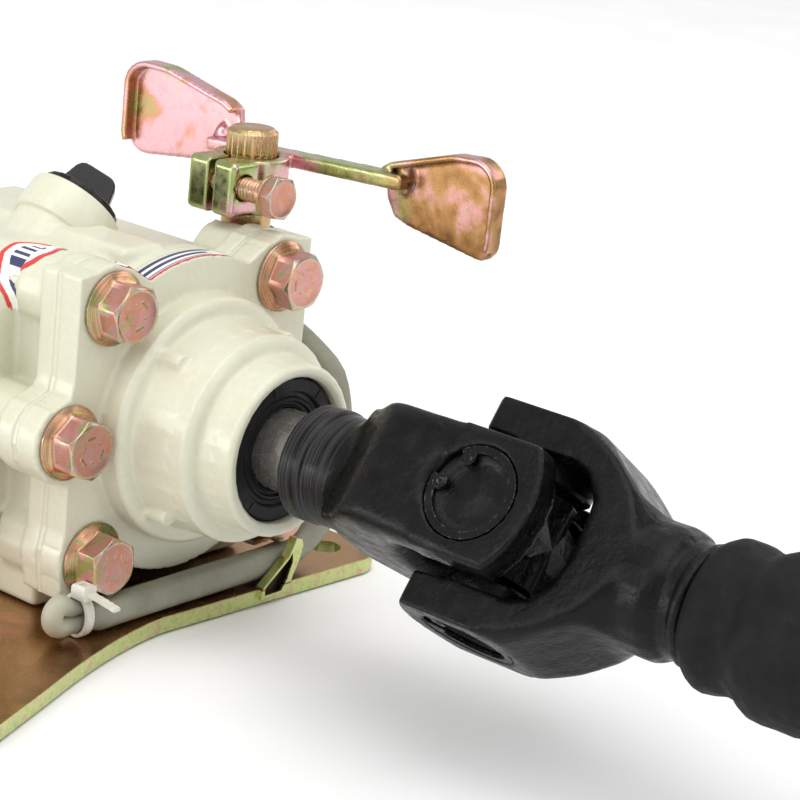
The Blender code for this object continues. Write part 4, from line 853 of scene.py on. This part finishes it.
for index, (centre, top) in enumerate(cover_bolts):
    make_bolt(f"cover_bolt_{index + 1}", (top.x - COVER_HEAD, centre.y, centre.z), ALONG_SHAFT,
              flats=13.0, flange=8.95, head=COVER_HEAD, shank=4.0, length=14.0, clock=0.3 + 0.9 * index)
for index, (centre, low) in enumerate(bolt_centres("input_bolt", 4, -1)):
    make_bolt(f"input_bolt_{index + 1}", (centre.x, low.y + INPUT_HEAD, centre.z), (0, -1, 0),
              flats=10.0, flange=6.6, head=INPUT_HEAD, shank=3.0, length=13.5, clock=0.2 + 0.7 * index)


# ---- joint caps and clips ----
CAP_RADIUS = 10.7
CLIP_GAP = math.radians(21)    # half the opening between the clip's ends
CLIP_CLOCK = math.radians(150)
CLIP_STEPS = 72
CLIP_TAPER = 5                 # steps over which each end widens towards its eye
EYE_CENTRE = CAP_RADIUS - 2.6


def make_ear_fittings(pair, axis, body):
    """Dished bearing cap and sprung clip in each ear of one yoke."""
    for sign, side in ((1, "near"), (-1, "far")):
        out = axis * sign
        dish = [(12.2, 6.8), (12.2, CAP_RADIUS - 0.7), (12.9, CAP_RADIUS), (23.3, CAP_RADIUS),
                (23.8, CAP_RADIUS - 0.25), (24.0, CAP_RADIUS - 0.8), (24.0, 8.1), (23.55, 7.5),
                (23.4, 6.4), (23.4, 3.2), (23.6, 2.7), (23.7, 0.02), (22.4, 0.02), (22.4, 6.8)]
        turned(f"{pair}_cap_{side}_skin", dish, CROSS, out, "yoke", body,
               (f"{pair}_cap_{side}",), closed=True)
        bm = bmesh.new()
        rings = []
        for i in range(CLIP_STEPS + 1):
            angle = CLIP_GAP + (2 * math.pi - 2 * CLIP_GAP) * i / CLIP_STEPS
            ends = min(1.0, min(i, CLIP_STEPS - i) / CLIP_TAPER)
            inner = CAP_RADIUS - 1.8 - 2.0 * (1 - ends) ** 0.6
            ring = [(inner, 24.3), (CAP_RADIUS, 24.3), (CAP_RADIUS, 25.2), (inner, 25.2)]
            rings.append([(r * math.cos(angle), r * math.sin(angle), h) for r, h in ring])
        loft(bm, rings, frame_on(CROSS, out, CLIP_CLOCK))
        eye = [(24.25, 0.75), (24.25, 1.7), (25.3, 1.7), (25.3, 0.75)]
        for turn in (CLIP_GAP * 1.35, -CLIP_GAP * 1.35):
            spot = frame_on(CROSS, out, CLIP_CLOCK + turn) @ Matrix.Translation((EYE_CENTRE, 0, 0))
            loft(bm, turned_rings(eye, 24), spot, closed=True)
        add_piece(f"{pair}_circlip_{side}_skin", bm, "yoke", body,
                  (f"{pair}_circlip_{side}",))


make_ear_fittings("driving", DRIVING_EARS, "output")
make_ear_fittings("driven", DRIVEN_EARS, "propeller")


# ---- turned parts of the output line ----
SEAL_FACE = box_mm("output_seal")[1].x
# Rise from the seal's face and radius, from the shell in to the dust lip.
SEAL_STEPS = ((-7.0, 12.5), (-7.0, 17.3), (-0.5, 17.5), (0.0, 17.1), (0.0, 14.3), (-0.3, 13.95),
              (-1.2, 13.7), (-1.3, 12.7), (-0.8, 12.3), (-0.7, 11.7), (-1.5, 11.3), (-1.6, 10.7),
              (-1.0, 10.3), (-1.5, 10.0), (-3.0, 11.3))
turned("output_seal_skin", [(SEAL_FACE + rise, radius) for rise, radius in SEAL_STEPS], (0, 0, SHAFT.z),
       ALONG_SHAFT, "seal", "gearbox", ("output_seal",), closed=True)


def make_seal_ribs():
    """Short moulded ribs across the flat outer ring of the seal."""
    bm = bmesh.new()
    face = frame_on((SEAL_FACE, 0, SHAFT.z), ALONG_SHAFT)
    for i in range(6):
        turn = Matrix.Rotation(0.35 + math.pi / 3 * i, 4, "Z")
        box_into(bm, (15.8, 0, 0.05), (1.2, 0.22, 0.12), face @ turn)
    add_piece("output_seal_ribs", bm, "seal", "gearbox")


make_seal_ribs()
turned("shaft_sleeve_skin", [(84.0, 9.80), (95.4, 9.80)], (0, 0, SHAFT.z), ALONG_SHAFT, "sleeve",
       "output")

tube_low, tube_high = box_mm("propeller_tube")
TUBE_R = (tube_high.z - tube_low.z) / 2
turned("propeller_tube_skin",
       [(226.0, 12.8), (226.0, TUBE_R), (tube_high.x - 0.8, TUBE_R), (tube_high.x, TUBE_R - 0.7),
        (tube_high.x, 13.2), (tube_high.x - 0.6, 12.8)],
       (0, 0, SHAFT.z), ALONG_SHAFT, "tube", "propeller", ("propeller_tube",),
       closed=True)


def boot_ripple(angle, height, radius):
    """Moulding seam, soft wrinkles and the lower lobe of a boot that has been pushed on."""
    if radius < 14.0 or height < 206.5:
        return 0.0
    seam = 0.35 * math.exp(-((math.sin(angle / 2 - 0.7) / 0.035) ** 2))
    wrinkles = 0.16 * math.sin(5 * angle + height * 0.5) + 0.10 * math.sin(9 * angle - height * 0.9)
    return seam + wrinkles


def boot_profile():
    """Height and radius along a boot that swells twice and grips the tube."""
    return [(206.0, 12.9), (206.0, 14.2), (206.5, 15.2), (207.4, 15.9), (208.6, 16.4), (210.0, 16.6),
            (212.0, 16.5), (214.0, 16.1), (216.0, 15.7), (217.6, 15.8), (219.0, 16.4), (220.6, 17.3),
            (222.5, 18.0), (225.0, 18.4), (228.0, 18.5), (232.0, 18.1), (236.0, 17.6), (239.5, 17.2),
            (241.6, 16.9), (242.0, 16.4), (242.0, 15.4), (226.0, 15.4), (225.6, 12.9)]


turned("shaft_boot_skin", boot_profile(), (0, 0, SHAFT.z), ALONG_SHAFT, "boot", "propeller",
       ("shaft_boot",), closed=True, ripple=boot_ripple)


# ---- shift shaft, pinch bolt and welds ----
shaft_top = box_mm("shift_shaft")[1].z


def knurl(angle, height, radius):
    """Serrations round the end of the shaft."""
    return 0.22 * abs(math.sin(22 * angle)) if radius > 5.9 else 0.0


turned("shift_knurl", [(shaft_top - 6.5, 6.05), (shaft_top - 6.2, 6.25), (shaft_top - 1.0, 6.25),
                       (shaft_top - 0.3, 5.6), (shaft_top + 0.05, 5.0), (shaft_top + 0.05, 0.4)],
       (SHIFT.x, SHIFT.y, 0), (0, 0, 1), "shift", "shift", sides=176, ripple=knurl)
turned("shift_collar", [(SHIFT.z + 2.0, 6.32), (SHIFT.z + 6.9, 6.32)], (SHIFT.x, SHIFT.y, 0), (0, 0, 1),
       "shift", "shift", sides=64)


PINCH_Y = 28.1
PINCH_HEAD = 4.9
PINCH_THREAD_STEP = 0.5


def make_pinch_bolt():
    """Bolt across the lever's clamp, with most of its ringed shank in sight."""
    low, high = box_mm("pinch_bolt")
    seat = high.x - PINCH_HEAD
    bm = bmesh.new()
    place = frame_on((seat, PINCH_Y, (low.z + high.z) / 2), ALONG_SHAFT)
    bolt_head(bm, place, 10.0, 5.2, PINCH_HEAD, 0.35)
    thread = []
    start = low.x - seat
    for i in range(int(-start / PINCH_THREAD_STEP)):
        thread.append((start + PINCH_THREAD_STEP * i, 2.95 if i % 2 else 2.6))
    thread.append((PINCH_THREAD_STEP, 2.8))
    loft(bm, turned_rings(thread, 32), place)
    add_piece("pinch_bolt_skin", bm, BOLT_LOOKS, "shift", ("pinch_bolt",))


make_pinch_bolt()


def make_weld(name, centre, half, seed):
    """Lumpy weld bead where the bar meets a pad."""
    rng = random.Random(seed)
    bm = bmesh.new()
    bmesh.ops.create_icosphere(bm, subdivisions=4, radius=1.0)
    bumps = []
    for _ in range(9):
        spot = Vector((rng.uniform(-1, 1), rng.uniform(-1, 1), rng.uniform(-1, 1)))
        bumps.append((spot, rng.uniform(0.4, 0.8)))
    for vertex in bm.verts:
        lump = sum(0.10 * math.exp(-((vertex.co - spot).length / width) ** 2) for spot, width in bumps)
        swollen = vertex.co * (0.92 + lump)
        vertex.co = [swollen[k] * half[k] + centre[k] for k in range(3)]
    add_piece(name, bm, "weld", "shift")


make_weld("weld_right", (SHIFT.x + 36.5, 50.2, 106.4), (4.0, 2.0, 3.0), 3)
make_weld("weld_left", (SHIFT.x - 18.0, 50.2, 103.4), (4.2, 2.0, 3.2), 8)


# ---- cable tie ----
TIE_X, TIE_Z = FOLD_CENTRE.x, 9.65     # middle of the strap's loop
TIE_HALF_WIDE, TIE_HALF_HIGH = 3.4, 4.5
TIE_HALF_STRAP = 1.2
TIE_RIB = 0.12


def make_tie():
    """Strap with a ribbed back round the folded hose, its square head and its loose tail."""
    low, high = box_mm("cable_tie")
    y = (low.y + high.y) / 2
    bm = bmesh.new()
    rings = []
    for i in range(64):
        angle = 2 * math.pi * i / 64
        ring = []
        strap = 0.85 + TIE_RIB * (i % 2)
        for thick, side in ((0.0, -1), (0.0, 1), (strap, 1), (strap, -1)):
            ring.append((TIE_X + (TIE_HALF_WIDE + thick) * math.cos(angle), y + side * TIE_HALF_STRAP,
                         TIE_Z + (TIE_HALF_HIGH + thick) * math.sin(angle)))
        rings.append(ring)
    loft(bm, rings, closed=True)
    head = [(13.9, 1.0), (14.2, 1.12), (16.9, 1.12), (17.5, 0.95), (17.5, 0.45), (16.9, 0.42)]
    turns = [math.pi / 4 + math.pi / 2 * k for k in range(4)]
    corners = [(math.cos(turn), math.sin(turn)) for turn in turns]
    head_x = TIE_X + 1.3
    loft(bm, [[(head_x + cx * 2.9 * s, y + cy * 2.4 * s, z) for cx, cy in corners] for z, s in head])
    tail = []
    tail_from = TIE_X + 2.0
    for i in range(13):
        x = tail_from + (high.x - tail_from) * i / 12
        z = 15.9 - 1.1 * (i / 12) ** 1.4
        top = z + 0.30 + TIE_RIB * (i % 2)
        low_z = z - 0.45
        tail.append([(x, y - 1.1, low_z), (x, y + 1.1, low_z), (x, y + 1.1, top), (x, y - 1.1, top)])
    loft(bm, tail)
    add_piece("cable_tie_skin", bm, "nylon", "gearbox", ("cable_tie",))


make_tie()


# ---- labels ----
LABEL_LIFT_M = 0.00012
LABEL_REACH_M = 0.05
WHITE, RED, INK = 0, 1, 2


def skin_tree(piece):
    bm = bmesh.new()
    bm.from_mesh(piece.data)
    bmesh.ops.triangulate(bm, faces=bm.faces)
    tree = BVHTree.FromBMesh(bm)
    bm.free()
    return tree


def lay_label(name, tree, above, inward, across, down, size, cells, chooser):
    """Film laid on a casting, from a point above its middle.

    The chooser says for each cell's centre whether it is white, red, ink or left out.
    """
    columns, rows = cells
    width, height = size
    longest = 4 * max(width / columns, height / rows)
    bm = bmesh.new()
    grid = []
    for r in range(rows + 1):
        line = []
        for c in range(columns + 1):
            u, v = c / columns - 0.5, r / rows - 0.5
            spot = Vector(above) + Vector(across) * (u * width) + Vector(down) * (v * height)
            hit, normal, _, _ = tree.ray_cast(spot * MM, Vector(inward).normalized(), LABEL_REACH_M)
            line.append(None if hit is None else bm.verts.new((hit + normal * LABEL_LIFT_M) / MM))
        grid.append(line)
    for r in range(rows):
        for c in range(columns):
            corners = (grid[r][c], grid[r][c + 1], grid[r + 1][c + 1], grid[r + 1][c])
            if None in corners:
                continue
            if max((a.co - b.co).length for a in corners for b in corners) > longest:
                continue
            kind = chooser((c + 0.5) / columns, (r + 0.5) / rows)
            if kind is None:
                continue
            bm.faces.new(corners).material_index = kind
    bmesh.ops.delete(bm, geom=[v for v in bm.verts if not v.link_faces], context="VERTS")
    add_piece(name, bm, ("label", "red", "ink"), "gearbox")


def bars(u, v, lines, seed):
    """Rows of long plain bars that stand for print, each with its own length."""
    row = int(v * lines * 2)
    if row % 2 == 0:
        return False
    return abs(u - 0.5) * 2 < random.Random(seed * 100 + row).uniform(0.60, 0.96)


def band_cell(u, v):
    """Long label with a red line along both sides."""
    if v < 0.09 or v > 0.91:
        return RED
    if 0.08 < u < 0.92 and 0.12 < v < 0.88 and bars(u, v, 3, 5):
        return INK
    return WHITE


def round_cell(u, v):
    """Round label with a red ring."""
    reach = math.hypot(u - 0.5, v - 0.5) * 2
    if reach > 1.0:
        return None
    if reach > 0.84:
        return RED
    if reach < 0.60 and bars(u, v, 8, 9):
        return INK
    return WHITE


housing_tree = skin_tree(housing_skin)
cover_tree = skin_tree(cover_skin)
lay_label("rating_band", cover_tree, (51.3, -8.0, SHAFT.z + 60.0), (0, 0, -1), (0, 1, 0), (1, 0, 0),
          (38.0, 6.6), (130, 33), band_cell)
lay_label("round_label", housing_tree, (28.5, -30.0, 110.0), (0, 0, -1), (1, 0, 0), (0, 1, 0),
          (17.0, 16.0), (90, 90), round_cell)


# ---- finishes for the CAD nodes that keep their shape ----
KEPT = {
    "plate": ("base_plate",),
    "bolt_side": ("base_screw_1", "base_screw_2", "base_screw_3", "base_screw_4", "drain_plug",
                  "hose_barb"),
    "shift": ("shift_shaft",),
    "ground": ("fork_rail", "output_shaft", "input_shaft", "spacer_sleeve"),
    "yoke": ("u_cross",),
    "gear": ("input_gear", "forward_gear", "reverse_gear", "dog_clutch", "shift_fork"),
    "bearing": ("output_bearing_front", "output_bearing_rear", "input_bearing"),
    "bronze": ("forward_bush", "reverse_bush"),
    "seal": ("input_seal", "shift_seal"),
}
for look, names in KEPT.items():
    for name in names:
        for material_slot in nodes[name].material_slots:
            material_slot.material = finish[look]


# ---- floor, light and finish ----
def make_floor():
    bm = bmesh.new()
    bmesh.ops.create_grid(bm, x_segments=1, y_segments=1, size=6.0)
    mesh = bpy.data.meshes.new("floor")
    bm.to_mesh(mesh)
    bm.free()
    floor = bpy.data.objects.new("floor", mesh)
    floor.location = (0, 0, -0.0006)
    ground = Surface("floor_paper", roughness=0.9)
    shade = ground.ramp(ground.noise(60.0, 2.0), ((0.3, (0.90, 0.90, 0.90)), (0.7, (0.93, 0.93, 0.93))))
    mesh.materials.append(ground.done(shade))
    bpy.context.scene.collection.objects.link(floor)
    floor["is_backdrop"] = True


def soft_box(name, place, target, size, power):
    data = bpy.data.lights.new(name, "AREA")
    data.shape = "RECTANGLE"
    data.size, data.size_y = size
    data.energy = power
    light = bpy.data.objects.new(name, data)
    light.location = place
    light.rotation_mode = "QUATERNION"
    light.rotation_quaternion = (Vector(target) - Vector(place)).to_track_quat("-Z", "Y")
    bpy.context.scene.collection.objects.link(light)


def make_light():
    world = bpy.data.worlds.new("studio")
    world.use_nodes = True
    world.node_tree.nodes["Background"].inputs["Color"].default_value = (1.0, 1.0, 1.0, 1.0)
    world.node_tree.nodes["Background"].inputs["Strength"].default_value = 0.70
    bpy.context.scene.world = world
    bpy.context.scene.view_settings.view_transform = "Standard"
    middle = (0.10, 0.0, 0.05)
    soft_box("top", (0.05, 0.05, 1.15), middle, (1.00, 0.90), 2.5)
    soft_box("key", (-0.05, -0.80, 0.60), middle, (0.45, 0.55), 1.6)
    soft_box("fill", (-0.35, -0.75, 0.10), (0.02, -0.04, 0.03), (0.50, 0.18), 1.6)
    soft_box("side", (1.00, 0.10, 0.45), middle, (0.30, 0.60), 1.0)
    soft_box("rim", (0.30, 0.85, 0.55), middle, (0.90, 0.30), 1.4)
    sun = bpy.data.objects.new("sun", bpy.data.lights.new("sun", "SUN"))
    sun.data.energy = 0.9
    sun.data.angle = math.radians(50)
    sun.rotation_mode = "QUATERNION"
    sun.rotation_quaternion = Vector((-0.30, 0.25, -0.90)).to_track_quat("-Z", "Y")
    bpy.context.scene.collection.objects.link(sun)


make_floor()
make_light()

low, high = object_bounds()
